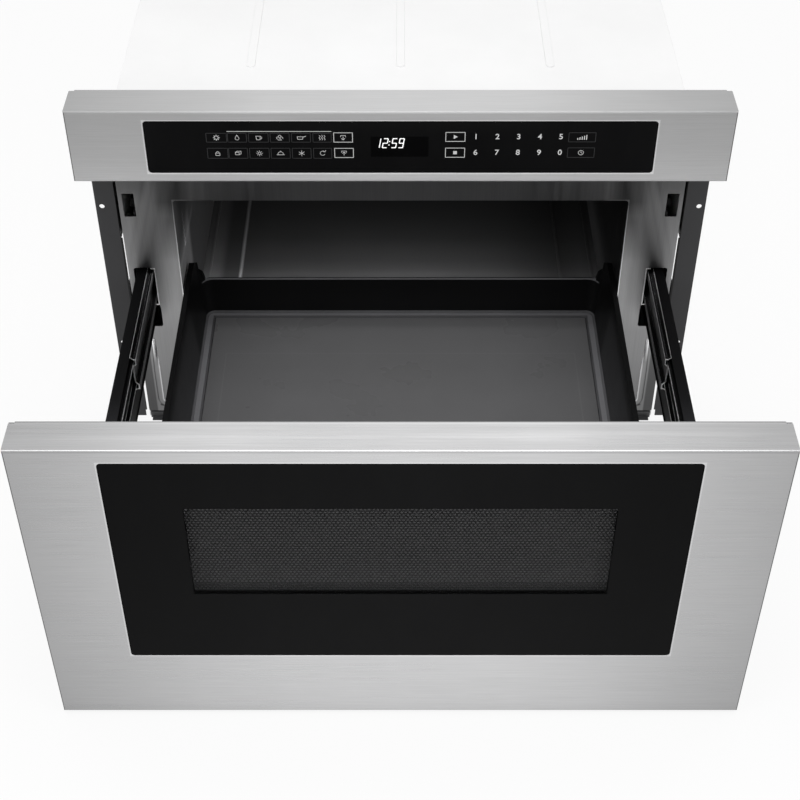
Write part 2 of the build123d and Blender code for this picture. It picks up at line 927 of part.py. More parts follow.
# ---------------------------------------------------------------- tub
def make_tray():
    lean = tan(radians(tray_taper))
    foot_half = tray_half - tray_rim_width + tray_wall - tray_height * lean
    foot_rear = tray_rear - tray_rim_width + tray_wall - tray_height * lean
    beyond = drawer_back - tray_height
    inner_foot = foot_half - tray_wall + foot_rise * lean
    inner_rear = foot_rear - tray_wall + foot_rise * lean
    with BuildPart() as tray:
        with BuildSketch(Plane.XY.offset(tray_low)):
            with Locations((0, (foot_rear + beyond) / 2)):
                RectangleRounded(2 * foot_half, foot_rear - beyond, tray_corner)
        extrude(amount=tray_height, taper=-tray_taper)
        # the rolled rim
        with BuildSketch(Plane.XY.offset(tray_top - tray_rim_sheet)):
            with Locations((0, (tray_rear + beyond - tray_wall) / 2)):
                RectangleRounded(2 * tray_half, tray_rear - beyond + tray_wall, tray_corner + tray_wall)
        extrude(amount=tray_rim_sheet)
        # the hollow, from the foot of the walls upwards
        with BuildSketch(Plane.XY.offset(tray_low + foot_rise)):
            with Locations((0, (inner_rear + beyond + tray_wall) / 2)):
                RectangleRounded(2 * inner_foot, inner_rear - beyond - tray_wall, tray_corner)
        extrude(amount=tray_height - foot_rise, taper=-tray_taper, mode=Mode.SUBTRACT)
        # the well that takes the floor plate, and the border that slopes to it
        well_half = inner_foot - border_width
        well_rear = inner_rear - border_rear_width
        well_front = drawer_back + tray_wall
        with BuildSketch(Plane.XY.offset(tray_floor_top)):
            with Locations((0, (well_rear + well_front) / 2)):
                Rectangle(2 * well_half, well_rear - well_front)
        extrude(amount=foot_rise, mode=Mode.SUBTRACT)
        border_edges = tray.edges().filter_by(
            lambda edge: abs(edge.center().Z - tray_low - foot_rise) < border_slope / 10
            and abs(edge.center().X) < well_half + border_slope / 10
            and edge.center().Y < well_rear + border_slope / 10
        )
        chamfer(border_edges, border_slope)
        split(bisect_by=Plane.XZ.offset(-drawer_back), keep=Keep.BOTTOM)
        span(
            (-inner_foot, inner_foot),
            (drawer_back, drawer_back + tray_wall),
            (tray_low, tray_low + tray_front_height),
        )
        # the rear wall is lower than the sides, and an ear is left at each corner
        rear_top = tray_low + tray_rear_height
        low_half = inner_foot - tray_wall / 3
        with BuildSketch(front_plane(tray_rear + tray_wall)):
            with BuildLine():
                Polyline(
                    (-low_half, rear_top),
                    (low_half, rear_top),
                    (low_half + ear_reach / 4, rear_top + ear_height / 2),
                    (low_half + ear_reach, rear_top + ear_height),
                    (tray_half + tray_wall, rear_top + ear_height),
                    (tray_half + tray_wall, tray_top + tray_wall),
                    (-tray_half - tray_wall, tray_top + tray_wall),
                    (-tray_half - tray_wall, rear_top + ear_height),
                    (-low_half - ear_reach, rear_top + ear_height),
                    (-low_half - ear_reach / 4, rear_top + ear_height / 2),
                    close=True,
                )
            make_face()
        extrude(amount=tray_rear + 2 * tray_wall - inner_rear, mode=Mode.SUBTRACT)
        slope_start = tray_rear - ear_length
        with BuildSketch(Plane.YZ.offset(-tray_half - tray_wall)):
            with BuildLine():
                Polyline(
                    (slope_start, tray_top + tray_wall),
                    (slope_start, tray_top),
                    (tray_rear - tray_wall, rear_top + ear_height),
                    (tray_rear + tray_wall, rear_top + ear_height),
                    (tray_rear + tray_wall, tray_top + tray_wall),
                    close=True,
                )
            make_face()
        extrude(amount=2 * (tray_half + tray_wall), mode=Mode.SUBTRACT)
    write(tray.part, "tray")

    plate_half = well_half - plate_gap
    with BuildPart() as plate:
        span(
            (-plate_half, plate_half),
            (well_front + plate_gap, well_rear - plate_gap),
            (tray_floor_top, tray_floor_top + plate_thickness),
        )
    write(plate.part, "tray_plate")


# ---------------------------------------------------------------- latches
def make_latches():
    hook_low = latch_centre - hook_height / 2
    tip = drawer_back + hook_length
    nose = hook_nose
    bite = hook_bite
    with BuildPart() as hooks:
        for side in (-1, 1):
            with BuildSketch(Plane.YZ.offset(side * latch_x - hook_width / 2)):
                with BuildLine():
                    Polyline(
                        (drawer_back, hook_low),
                        (tip - 2 * nose, hook_low),
                        (tip - 2 * nose, hook_low + bite),
                        (tip - nose, hook_low + bite),
                        (tip - nose, hook_low),
                        (tip - nose / 4, hook_low),
                        (tip, hook_low + bite),
                        (tip, hook_low + bite * 2),
                        (tip - nose / 2, hook_low + hook_height),
                        (drawer_back, hook_low + hook_height),
                        close=True,
                    )
                make_face()
            extrude(amount=hook_width)
    write(hooks.part, "latch_hooks")

    # behind each slot: a bracket on the cavity wall that carries a switch and a sprung lever
    wall = half_cavity + cavity_sheet
    depth = (sheet, bracket_depth)
    pin_y = lever_pin_place
    pin_z = hook_low - lever_gap - lever_pin_radius - lever_tail
    cheek = bracket_cheek
    cheek_x = latch_x - lever_width / 2 - cheek - lever_side_play
    foot_low = pin_z - bracket_foot
    foot_high = foot_low + bracket_shelf
    with BuildPart() as bracket:
        span((wall, wall + cheek), depth, (foot_high, cavity_high - bracket_foot))
        span((wall, cheek_x + cheek), depth, (foot_low, foot_high))
        span((cheek_x, cheek_x + cheek), depth, (foot_low, pin_z + 1.5 * lever_pin_radius))
        with Locations(Location((cheek_x + cheek, pin_y, pin_z), (0, 90, 0))):
            Cylinder(
                lever_pin_radius,
                lever_width + 2 * lever_side_play,
                align=(Align.CENTER, Align.CENTER, Align.MIN),
            )
        # the switch stands on the bracket's shelf
        span(
            (wall + cheek, cheek_x),
            (pin_y + lever_pin_radius - switch_depth, pin_y + lever_pin_radius),
            (foot_high, pin_z + lever_pin_radius),
        )
    write_pair(bracket.part, "latch_bracket")

    with BuildPart() as lever:
        with BuildSketch(Plane.YZ.offset(latch_x - lever_width / 2)):
            with BuildLine():
                Polyline(
                    (pin_y - lever_arm, pin_z - lever_tail / 4),
                    (pin_y + lever_tail, pin_z - lever_tail),
                    (pin_y + lever_tail, pin_z + lever_tail),
                    (pin_y - lever_tail, hook_low - lever_gap),
                    (pin_y - lever_tail - lever_head, hook_low - lever_gap),
                    (pin_y - lever_arm, pin_z + lever_pin_radius),
                    close=True,
                )
            make_face()
            with Locations((pin_y, pin_z)):
                Circle(lever_pin_radius + running_fit, mode=Mode.SUBTRACT)
        extrude(amount=lever_width)
    write_pair(lever.part, "latch_lever")


# ---------------------------------------------------------------- controls
def make_controls():
    high = fascia_top - control_glass_top_edge
    low = high - control_glass_height
    half_glass = glass_width / 2
    make_skin(
        fascia_low,
        fascia_top,
        fascia_front,
        plate_front,
        low - glass_gap,
        high + glass_gap,
        half_glass + glass_gap,
        "control_fascia",
    )
    glass_front = fascia_front + glass_recess
    glass_back = glass_front + control_glass_thickness
    with BuildPart() as glass:
        with BuildSketch(front_plane(glass_front)):
            rounded_rectangle((-half_glass, half_glass), (low, high), glass_corner)
        extrude(amount=-control_glass_thickness)
    write(glass.part, "control_glass")

    cover_front = plate_front - skin
    edge = return_width + frame_gap
    with BuildPart() as cover:
        span(
            (-half_front + edge, half_front - edge),
            (cover_front, plate_front),
            (fascia_low + edge, fascia_top - edge),
        )
    write(cover.part, "fascia_cover")

    carrier_half = half_glass + carrier_margin
    carrier_back = glass_back + carrier_depth
    pocket_front = glass_back + carrier_wall / 2
    with BuildPart() as carrier:
        span(
            (-carrier_half, carrier_half),
            (glass_back, carrier_back),
            (low - carrier_margin, high + carrier_margin),
        )
        span(
            (-half_glass + carrier_wall, half_glass - carrier_wall),
            (pocket_front, carrier_back),
            (low + carrier_wall / 2, high - carrier_wall / 2),
            Mode.SUBTRACT,
        )
        # posts that stand on the rear cover
        with BuildSketch(front_plane(carrier_back)):
            with Locations((-half_glass, low + 3 * post_radius), (half_glass, low + 3 * post_radius)):
                Circle(post_radius)
        extrude(amount=carrier_back - cover_front)
    write(carrier.part, "control_carrier")

    board_front = pocket_front + board_sheet
    middle = (low + high) / 2
    with BuildPart() as board:
        span(
            (-half_glass + 2 * carrier_wall, half_glass - 2 * carrier_wall),
            (board_front, board_front + board_sheet),
            (low + carrier_wall, high - carrier_wall),
        )
        span(
            (-display_width / 2, display_width / 2),
            (pocket_front, board_front),
            (middle - display_height / 2, middle + display_height / 2),
        )
        for place in (-key_field_place, key_field_place):
            span(
                (place - key_field_half, place + key_field_half),
                (pocket_front, board_front),
                (middle - key_field_rise, middle + key_field_rise),
            )
            span(
                (place - chip_rise, place + chip_rise),
                (board_front + board_sheet, board_front + 3 * board_sheet),
                (middle - chip_rise, middle + chip_rise),
            )
    write(board.part, "control_board")


# ---------------------------------------------------------------- drive
def rack_tooth(root, tip, pitch_thickness):
    """Half-widths of a rack tooth at its root and tip, from its thickness on the pitch line."""
    slope = tan(radians(pressure_angle))
    half = pitch_thickness / 2
    return half + (root * slope), half - (tip * slope)


def make_rack():
    pitch = pi * tooth_module
    thickness = pitch / 2 - tooth_play
    root_half, tip_half = rack_tooth(tooth_module, tooth_module, thickness)
    first = pinion_place - travel - 3 * pitch
    last = pinion_place + 3 * pitch
    count = int((last - first) / pitch) + 1
    body_low = pitch_height + tooth_module
    with BuildPart() as rack:
        span(
            (-rack_width / 2, rack_width / 2),
            (drawer_back, rack_back),
            (body_low, rack_low + rack_height),
        )
        for index in range(count):
            # a tooth stands over the pinion's axis at the open position
            place = pinion_place + (index - count + 4) * pitch
            with BuildSketch(Plane.YZ.offset(-rack_width / 2)):
                with BuildLine():
                    Polyline(
                        (place - root_half, body_low),
                        (place + root_half, body_low),
                        (place + tip_half, pitch_height - tooth_module),
                        (place - tip_half, pitch_height - tooth_module),
                        close=True,
                    )
                make_face()
            extrude(amount=rack_width)
        # a plate fixes the rack to the back of the drawer front
        span(
            (-rack_plate_half, rack_plate_half),
            (drawer_back, drawer_back + rack_plate_sheet),
            (body_low - rack_plate_drop, rack_low + rack_height + rack_plate_rise),
        )
    write(rack.part, "drive_rack")


def involute_point(base_radius, radius, start):
    """A point of an involute of the base circle, turned so that the flank starts at an angle."""
    roll = acos(base_radius / radius)
    spread = tan(roll) - roll
    angle = start + spread
    return radius * sin(angle), radius * cos(angle)


def make_pinion():
    base_radius = pitch_radius * cos(radians(pressure_angle))
    tip_radius = pitch_radius + tooth_module - root_play / 2
    root_radius = pitch_radius - tooth_module - root_play
    thickness = pi * tooth_module / 2 - tooth_play
    at_pitch = tan(radians(pressure_angle)) - radians(pressure_angle)
    half_angle = thickness / 2 / pitch_radius
    steps = 6
    with BuildPart() as pinion:
        wheel_plane = Plane(
            origin=(-pinion_width / 2, pinion_place, pinion_centre),
            x_dir=(0, 1, 0),
            z_dir=(1, 0, 0),
        )
        with BuildSketch(wheel_plane):
            Circle(root_radius)
            for index in range(pinion_teeth):
                # a gap of the pinion stands under the rack tooth
                turn = (index + 0.5) * 2 * pi / pinion_teeth
                flank = []
                for step in range(steps + 1):
                    radius = base_radius + (tip_radius - base_radius) * step / steps
                    across, out = involute_point(base_radius, radius, -half_angle - at_pitch)
                    flank.append((across, out))
                inner = root_radius * cos(half_angle + at_pitch) - root_play
                points = [(flank[0][0], inner)] + flank
                outline = points + [(-across, out) for across, out in reversed(points)]
                turned = [
                    (across * cos(turn) + out * sin(turn), -across * sin(turn) + out * cos(turn))
                    for across, out in outline
                ]
                with BuildLine():
                    Polyline(turned, close=True)
                make_face()
        extrude(amount=pinion_width)
        collar_x = -pinion_width / 2 - pinion_collar
        with Locations(Location((collar_x, pinion_place, pinion_centre), (0, 90, 0))):
            Cylinder(
                shaft_radius + pinion_collar_wall,
                pinion_collar,
                align=(Align.CENTER, Align.CENTER, Align.MIN),
            )
        with Locations(Location((-pinion_width, pinion_place, pinion_centre), (0, 90, 0))):
            Cylinder(
                shaft_radius + running_fit,
                2 * pinion_width,
                align=(Align.CENTER, Align.CENTER, Align.MIN),
                mode=Mode.SUBTRACT,
            )
    write(pinion.part, "drive_pinion")


def make_gear_motor():
    """A motor and gearbox beside the pinion, with its output shaft through it."""
    face = pinion_width / 2 + gearbox_side_gap
    half = gearbox_size / 2
    foot = motor_foot
    with BuildPart() as motor:
        span(
            (face, face + gearbox_length),
            (pinion_place - half, pinion_place + half),
            (pinion_centre - half + gearbox_low_cut, pinion_centre + half - gearbox_top_cut),
        )
        with Locations(Location((face + gearbox_length, pinion_place, pinion_centre), (0, 90, 0))):
            Cylinder(motor_radius, motor_length, align=(Align.CENTER, Align.CENTER, Align.MIN))
            Cylinder(
                motor_radius / 3, motor_length + motor_boss, align=(Align.CENTER, Align.CENTER, Align.MIN)
            )
        with Locations(Location((-pinion_width, pinion_place, pinion_centre), (0, 90, 0))):
            Cylinder(shaft_radius, pinion_width + face, align=(Align.CENTER, Align.CENTER, Align.MIN))
        # a saddle down to the base pan
        span(
            (face, face + gearbox_length),
            (pinion_place - half + foot, pinion_place + half - foot),
            (sheet, pinion_centre),
        )
        span(
            (face - foot / 4, face + gearbox_length + foot),
            (pinion_place - half - foot, pinion_place + half + foot),
            (sheet, 3 * sheet),
        )
    write(motor.part, "gear_motor")


def make_rack_guide():
    """A channel under the cavity floor that keeps the rack up and straight."""
    play = rack_guide_play
    wall = rack_guide_wall
    front = pinion_place + rack_guide_place
    rear = front + rack_guide_length
    top = cavity_low - cavity_sheet
    rack_top = rack_low + rack_height
    half = rack_width / 2 + play
    with BuildPart() as guide:
        span((-half - wall, half + wall), (front, rear), (rack_top - rack_guide_grip, top))
        span((-half, half), (front, rear), (rack_top - rack_guide_grip, rack_top + play), Mode.SUBTRACT)
        for side in (-1, 1):
            inner, outer = sorted((side * half, side * (half + rack_guide_foot)))
            span((inner, outer), (front, rear), (top - wall, top))
    write(guide.part, "rack_guide")


# ---------------------------------------------------------------- works
def make_waveguide():
    wall = sheet
    half = guide_width / 2
    low = ceiling_top
    high = low + guide_height
    magnetron_y = guide_rear - magnetron_length / 2
    with BuildPart() as guide:
        span((-half, half), (guide_front, guide_rear), (low, high))
        span(
            (-half + wall, half - wall),
            (guide_front + wall, guide_rear - wall),
            (low + wall, high - wall),
            Mode.SUBTRACT,
        )
        span(
            (-port_width / 2, port_width / 2),
            (port_front, port_front + port_length),
            (low, low + wall),
            Mode.SUBTRACT,
        )
        with Locations((0, magnetron_y, low)):
            Cylinder(antenna_radius + antenna_play, 4 * wall, mode=Mode.SUBTRACT)
        with Locations((0, port_centre, high)):
            Cylinder(stirrer_shaft + stirrer_shaft_play, 4 * wall, mode=Mode.SUBTRACT)
    write(guide.part, "waveguide")


def make_magnetron():
    half = magnetron_width / 2
    top = ceiling_top
    rear = guide_rear
    front = rear - magnetron_length
    middle = (front + rear) / 2
    yoke = yoke_sheet
    filter_box = filter_box_height
    with BuildPart() as magnetron:
        span((-half, half), (front, rear), (top - yoke, top))
        span((-half, half), (front, rear), (top - magnetron_height, top - magnetron_height + filter_box))
        for side in (-1, 1):
            inner, outer = sorted((side * (half - yoke), side * half))
            span((inner, outer), (front + yoke, rear - yoke), (top - magnetron_height, top))
        with Locations((0, middle, top - magnetron_height / 2)):
            Cylinder(tube_radius, magnetron_height - yoke)
        fin_low = top - magnetron_height + filter_box
        fin_step = (magnetron_height - filter_box - yoke) / (fin_count + 1)
        for index in range(fin_count):
            height = fin_low + (index + 1) * fin_step
            span((-half + yoke, half - yoke), (front + yoke, rear - yoke), (height, height + fin_sheet))
        with Locations((0, middle, top)):
            Cylinder(antenna_radius, antenna_height, align=(Align.CENTER, Align.CENTER, Align.MIN))
        fillet(magnetron.faces().sort_by(Axis.Z)[-1].edges(), antenna_radius / 3)
    write(magnetron.part, "magnetron")


def make_stirrer():
    blade_top = cavity_high - stirrer_drop
    motor_low = ceiling_top + guide_height
    with BuildPart() as stirrer:
        with BuildSketch(Plane.XY.offset(blade_top - stirrer_sheet)):
            with Locations((0, port_centre)):
                Circle(stirrer_radius / 3)
                with PolarLocations(stirrer_radius / 2, 4):
                    Rectangle(stirrer_radius, stirrer_blade_width)
        extrude(amount=stirrer_sheet)
        with Locations((0, port_centre, blade_top - stirrer_sheet)):
            Cylinder(
                stirrer_shaft,
                motor_low + stirrer_bore - stirrer_end_play - blade_top + stirrer_sheet,
                align=(Align.CENTER, Align.CENTER, Align.MIN),
            )
            Cylinder(3 * stirrer_shaft, 4 * stirrer_sheet, align=(Align.CENTER, Align.CENTER, Align.MIN))
    write(stirrer.part, "stirrer")

    with BuildPart() as motor:
        with Locations((0, port_centre, motor_low)):
            Cylinder(
                stirrer_motor_radius, stirrer_motor_height, align=(Align.CENTER, Align.CENTER, Align.MIN)
            )
            Cylinder(
                stirrer_shaft + running_fit,
                stirrer_bore,
                align=(Align.CENTER, Align.CENTER, Align.MIN),
                mode=Mode.SUBTRACT,
            )
        for side in (-1, 1):
            root = side * (stirrer_motor_radius - stirrer_ear_sheet)
            tip = side * (stirrer_motor_radius + stirrer_ear)
            span(
                (min(root, tip), max(root, tip)),
                (port_centre - stirrer_ear_half, port_centre + stirrer_ear_half),
                (motor_low, motor_low + stirrer_ear_sheet),
            )
    write(motor.part, "stirrer_motor")

    half = stirrer_radius + cover_margin
    low = cavity_high - cover_depth
    with BuildPart() as cover:
        with BuildSketch(Plane.XY.offset(low)):
            with Locations((0, port_centre)):
                RectangleRounded(2 * half, 2 * half, cover_margin)
        extrude(amount=cover_depth)
        with BuildSketch(Plane.XY.offset(low + cover_wall)):
            with Locations((0, port_centre)):
                RectangleRounded(
                    2 * (half - cover_wall), 2 * (half - cover_wall), cover_margin - cover_wall
                )
        extrude(amount=cover_depth, mode=Mode.SUBTRACT)
    write(cover.part, "stirrer_cover")


def make_fan():
    front = rear_inside - fan_depth
    half = fan_size / 2
    plane = Plane(origin=(fan_centre_x, front, fan_centre_z), x_dir=(1, 0, 0), z_dir=(0, -1, 0))
    rear_plane = plane.offset(-fan_depth)
    with BuildPart() as housing:
        with BuildSketch(plane):
            RectangleRounded(fan_size, fan_size, fan_corner)
            Circle(fan_bore_radius, mode=Mode.SUBTRACT)
        extrude(amount=-fan_depth)
        # a spider at the back carries the motor
        with BuildSketch(rear_plane):
            Circle(fan_hub_radius)
            for turn in (45, 135):
                Rectangle(2 * fan_bore_radius + fan_tip_gap, fan_spoke, rotation=turn)
        extrude(amount=fan_spider)
    write(housing.part, "fan_housing")

    motor_front = fan_spider + fan_motor_depth
    hub_length = fan_hub_depth - fan_back - fan_end_play
    with BuildPart() as motor:
        with BuildSketch(rear_plane.offset(fan_spider)):
            Circle(fan_hub_radius - fan_motor_inset)
        extrude(amount=fan_motor_depth)
        with BuildSketch(rear_plane.offset(motor_front)):
            Circle(fan_shaft_radius)
        extrude(amount=hub_length - 2 * fan_end_play)
    write(motor.part, "fan_motor")

    blade_tip = fan_bore_radius - fan_tip_gap
    hub_plane = rear_plane.offset(motor_front + fan_end_play)
    with BuildPart() as impeller:
        with BuildSketch(hub_plane):
            Circle(fan_hub_radius)
        extrude(amount=hub_length)
        with BuildSketch(hub_plane):
            Circle(fan_shaft_radius + running_fit)
        extrude(amount=hub_length - 2 * fan_end_play, mode=Mode.SUBTRACT)
        for index in range(fan_blades):
            turn = index * 360 / fan_blades
            direction = Vector(1, 0, 0).rotate(Axis.Y, turn)
            root_out = fan_hub_radius - fan_blade_root
            root = Vector(fan_centre_x, 0, fan_centre_z) + direction * root_out
            depth = hub_plane.origin.Y - hub_length / 2
            blade_plane = Plane(
                origin=(root.X, depth, root.Z),
                x_dir=Vector(0, 1, 0).rotate(Axis((0, 0, 0), direction), fan_blade_angle),
                z_dir=direction,
            )
            with BuildSketch(blade_plane):
                RectangleRounded(fan_blade_width, fan_blade_sheet, fan_blade_round)
            extrude(amount=blade_tip - root_out)
    write(impeller.part, "fan_impeller")


def make_electrics():
    core = transformer_core
    middle_y = (cavity_depth + cavity_sheet + rear_inside) / 2
    half = transformer_width / 2
    length = transformer_length / 2
    foot = transformer_foot
    with BuildPart() as transformer:
        span(
            (transformer_x - half - foot, transformer_x + half + foot),
            (middle_y - core, middle_y + core),
            (sheet, 3 * sheet),
        )
        span(
            (transformer_x - half, transformer_x + half),
            (middle_y - core, middle_y + core),
            (3 * sheet, transformer_height),
        )
        with BuildSketch(Plane.XY.offset(transformer_height / 4)):
            with Locations((transformer_x, middle_y)):
                RectangleRounded(transformer_width - core, transformer_length, core / 2)
        extrude(amount=transformer_height / 2)
    write(transformer.part, "transformer")

    with BuildPart() as can:
        with BuildSketch(front_plane(middle_y - length)):
            with Locations((can_x, sheet + can_height / 2)):
                SlotOverall(can_width, can_height)
        extrude(amount=-can_length)
        with BuildSketch(front_plane(middle_y - length)):
            with Locations((can_x, sheet + can_height / 2)):
                with GridLocations(2 * terminal_reach, 0, 2, 1):
                    Circle(terminal_radius)
        extrude(amount=terminal_length)
        # the strap that holds it down
        span(
            (can_x - can_width / 2 - strap_half, can_x + can_width / 2 + strap_half),
            (middle_y - strap_half, middle_y + strap_half),
            (sheet, 2 * sheet),
        )
    write(can.part, "capacitor")

    with BuildPart() as noise_filter:
        with Locations((filter_x, middle_y, sheet)):
            with GridLocations(filter_width - 2 * standoff_inset, filter_length - 2 * standoff_inset, 2, 2):
                Cylinder(
                    standoff_radius, standoff_height, align=(Align.CENTER, Align.CENTER, Align.MIN)
                )
        board = sheet + standoff_height
        span(
            (filter_x - filter_width / 2, filter_x + filter_width / 2),
            (middle_y - filter_length / 2, middle_y + filter_length / 2),
            (board, board + board_sheet),
        )
        with Locations((filter_x + coil_place[0], middle_y + coil_place[1], board + board_sheet)):
            Cylinder(coil_radius, coil_height, align=(Align.CENTER, Align.CENTER, Align.MIN))
        with Locations((filter_x + block_place[0], middle_y + block_place[1], board + board_sheet)):
            Box(*block_size, align=(Align.CENTER, Align.CENTER, Align.MIN))
    write(noise_filter.part, "noise_filter")

    wall = half_cavity + cavity_sheet
    bulb = lamp_bulb_radius
    bulb_x = -wall - bulb - lamp_bulb_gap
    seat_y = lamp_place + lamp_plate
    with BuildPart() as lamp:
        span(
            (-wall - lamp_sheet, -wall),
            (seat_y, seat_y + lamp_plate),
            (lamp_height - lamp_plate, lamp_height + lamp_plate),
        )
        span(
            (-wall - 2 * (bulb + lamp_sheet), -wall),
            (seat_y, seat_y + lamp_seat),
            (lamp_height - bulb, lamp_height + bulb),
        )
        with Locations(Location((bulb_x, seat_y, lamp_height), (90, 0, 0))):
            Cylinder(bulb / 2, lamp_base_length, align=(Align.CENTER, Align.CENTER, Align.MIN))
        with Locations((bulb_x, seat_y - lamp_bulb_reach, lamp_height)):
            Sphere(bulb)
    write(lamp.part, "cavity_lamp")

    with BuildPart() as gland:
        with BuildSketch(front_plane(case_depth + gland_lip_depth)):
            with Locations((gland_x, gland_z)):
                Circle(gland_radius + gland_lip)
        extrude(amount=gland_lip_depth)
        with BuildSketch(front_plane(case_depth)):
            with Locations((gland_x, gland_z)):
                Circle(gland_radius - running_fit)
        extrude(amount=gland_inside)
        with BuildSketch(front_plane(case_depth + gland_lip_depth)):
            with Locations((gland_x, gland_z)):
                Circle(gland_bore)
        extrude(amount=gland_lip_depth + gland_inside, mode=Mode.SUBTRACT)
    write(gland.part, "power_gland")


def make_case_screws():
    edge = screw_edge
    with BuildPart() as screws:
        for side in (-1, 1):
            for depth in (edge * 2, case_depth / 2, case_depth - edge * 2):
                with Locations((side * (half_case - edge), depth, case_height)):
                    Cylinder(
                        screw_head_radius,
                        screw_head_height,
                        align=(Align.CENTER, Align.CENTER, Align.MIN),
                    )
            for height in (case_rim, case_height / 2, case_height - 2 * edge):
                across = side * (half_case - edge - sheet)
                with Locations(Location((across, case_depth, height), (-90, 0, 0))):
                    Cylinder(
                        screw_head_radius,
                        screw_head_height,
                        align=(Align.CENTER, Align.CENTER, Align.MIN),
                    )
    write(screws.part, "case_screws")


make_base_pan()
make_side_panels()
make_top_cover()
make_rear_panel()
make_face_plate()
make_mounting_flanges()
make_cavity()
make_slide_supports()
make_cabinet_slides()
make_mid_slides()
make_drawer_slides()
make_outer_cages()
make_inner_cages()
make_drawer_arms()
make_drawer_front()
make_tray()
make_latches()
make_controls()
make_rack()
make_pinion()
make_gear_motor()
make_rack_guide()
make_waveguide()
make_magnetron()
make_stirrer()
make_fan()
make_electrics()
make_case_screws()
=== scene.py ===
"""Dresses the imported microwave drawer: camera, light, floor, materials and fine pieces.

Metres, in the row frame: X = 0 is the centreline, Y = 0 the cabinet's front, Z = 0 the base.
"""

from math import cos, hypot, pi, radians, sin

import bmesh
import bpy
from mathutils import Matrix, Vector


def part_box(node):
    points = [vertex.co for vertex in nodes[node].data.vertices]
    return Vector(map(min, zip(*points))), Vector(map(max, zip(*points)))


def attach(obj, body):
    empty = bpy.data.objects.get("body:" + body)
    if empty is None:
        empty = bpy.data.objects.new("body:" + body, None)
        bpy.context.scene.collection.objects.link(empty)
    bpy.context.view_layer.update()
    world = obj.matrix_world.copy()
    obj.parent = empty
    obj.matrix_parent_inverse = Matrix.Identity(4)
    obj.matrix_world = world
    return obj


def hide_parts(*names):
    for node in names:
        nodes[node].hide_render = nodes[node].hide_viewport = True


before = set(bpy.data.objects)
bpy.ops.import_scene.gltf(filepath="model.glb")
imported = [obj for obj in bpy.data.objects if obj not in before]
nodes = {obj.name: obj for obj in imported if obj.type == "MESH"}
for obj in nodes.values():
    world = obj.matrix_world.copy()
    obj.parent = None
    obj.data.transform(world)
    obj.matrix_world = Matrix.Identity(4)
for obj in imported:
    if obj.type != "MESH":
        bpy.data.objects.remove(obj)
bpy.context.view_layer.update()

MM = 0.001

# ---------------------------------------------------------------- camera
camera_data = bpy.data.cameras.new("camera")
camera_data.lens = 68.50
camera_data.sensor_width = 36.0
camera_data.shift_x = -0.000625
camera_data.shift_y = 0.0005
camera = bpy.data.objects.new("camera", camera_data)
camera.location = (0.0, -1.22265, 1.13266)
camera.rotation_euler = (radians(47.792), 0.0, 0.0)
bpy.context.scene.collection.objects.link(camera)
bpy.context.scene.camera = camera
bpy.context.scene.view_settings.view_transform = "Standard"


# ---------------------------------------------------------------- light
def fill(node, **values):
    """Sets a node's inputs by name, with _ for a space."""
    for key, value in values.items():
        node.inputs[key.replace("_", " ")].default_value = value


def seen_directly(tree):
    """1 for camera, glossy and transmission rays, 0 for the rays that light surfaces."""
    path = tree.nodes.new("ShaderNodeLightPath")
    total = path.outputs["Is Camera Ray"]
    for name in ("Is Glossy Ray", "Is Transmission Ray"):
        both = tree.nodes.new("ShaderNodeMath")
        both.operation = "MAXIMUM"
        tree.links.new(total, both.inputs[0])
        tree.links.new(path.outputs[name], both.inputs[1])
        total = both.outputs[0]
    return total


def background(tree, strength):
    node = tree.nodes.new("ShaderNodeBackground")
    fill(node, Color=(1.0, 1.0, 1.0, 1.0), Strength=strength)
    return node


def make_world(light_level):
    """A white studio that lights the part at one level and is seen at full white."""
    world = bpy.data.worlds.new("world")
    bpy.context.scene.world = world
    world.use_nodes = True
    tree = world.node_tree
    tree.nodes.clear()
    mix = tree.nodes.new("ShaderNodeMixShader")
    out = tree.nodes.new("ShaderNodeOutputWorld")
    tree.links.new(seen_directly(tree), mix.inputs[0])
    tree.links.new(background(tree, light_level).outputs[0], mix.inputs[1])
    tree.links.new(background(tree, 1.0).outputs[0], mix.inputs[2])
    tree.links.new(mix.outputs[0], out.inputs[0])


def area_light(name, place, target, size, power, shown=True):
    light = bpy.data.lights.new(name, "AREA")
    light.shape = "RECTANGLE"
    light.size, light.size_y = size
    light.energy = power
    lamp = bpy.data.objects.new(name, light)
    lamp.location = place
    lamp.rotation_euler = (Vector(target) - Vector(place)).to_track_quat("-Z", "Y").to_euler()
    lamp.visible_camera = shown
    lamp.visible_glossy = shown
    bpy.context.scene.collection.objects.link(lamp)


make_world(0.62)
area_light("overhead", (0.0, -0.35, 2.1), (0.0, -0.1, 0.2), (2.0, 1.2), 17.0)
for name, across in (("front_left", -1.7), ("front_right", 1.7)):
    area_light(name, (across, -1.5, 1.5), (0.0, -0.2, 0.2), (1.0, 1.4), 7.0)
area_light("cavity_light", (0.0, 0.14, 0.28), (0.0, 0.17, 0.09), (0.38, 0.04), 0.12, shown=False)


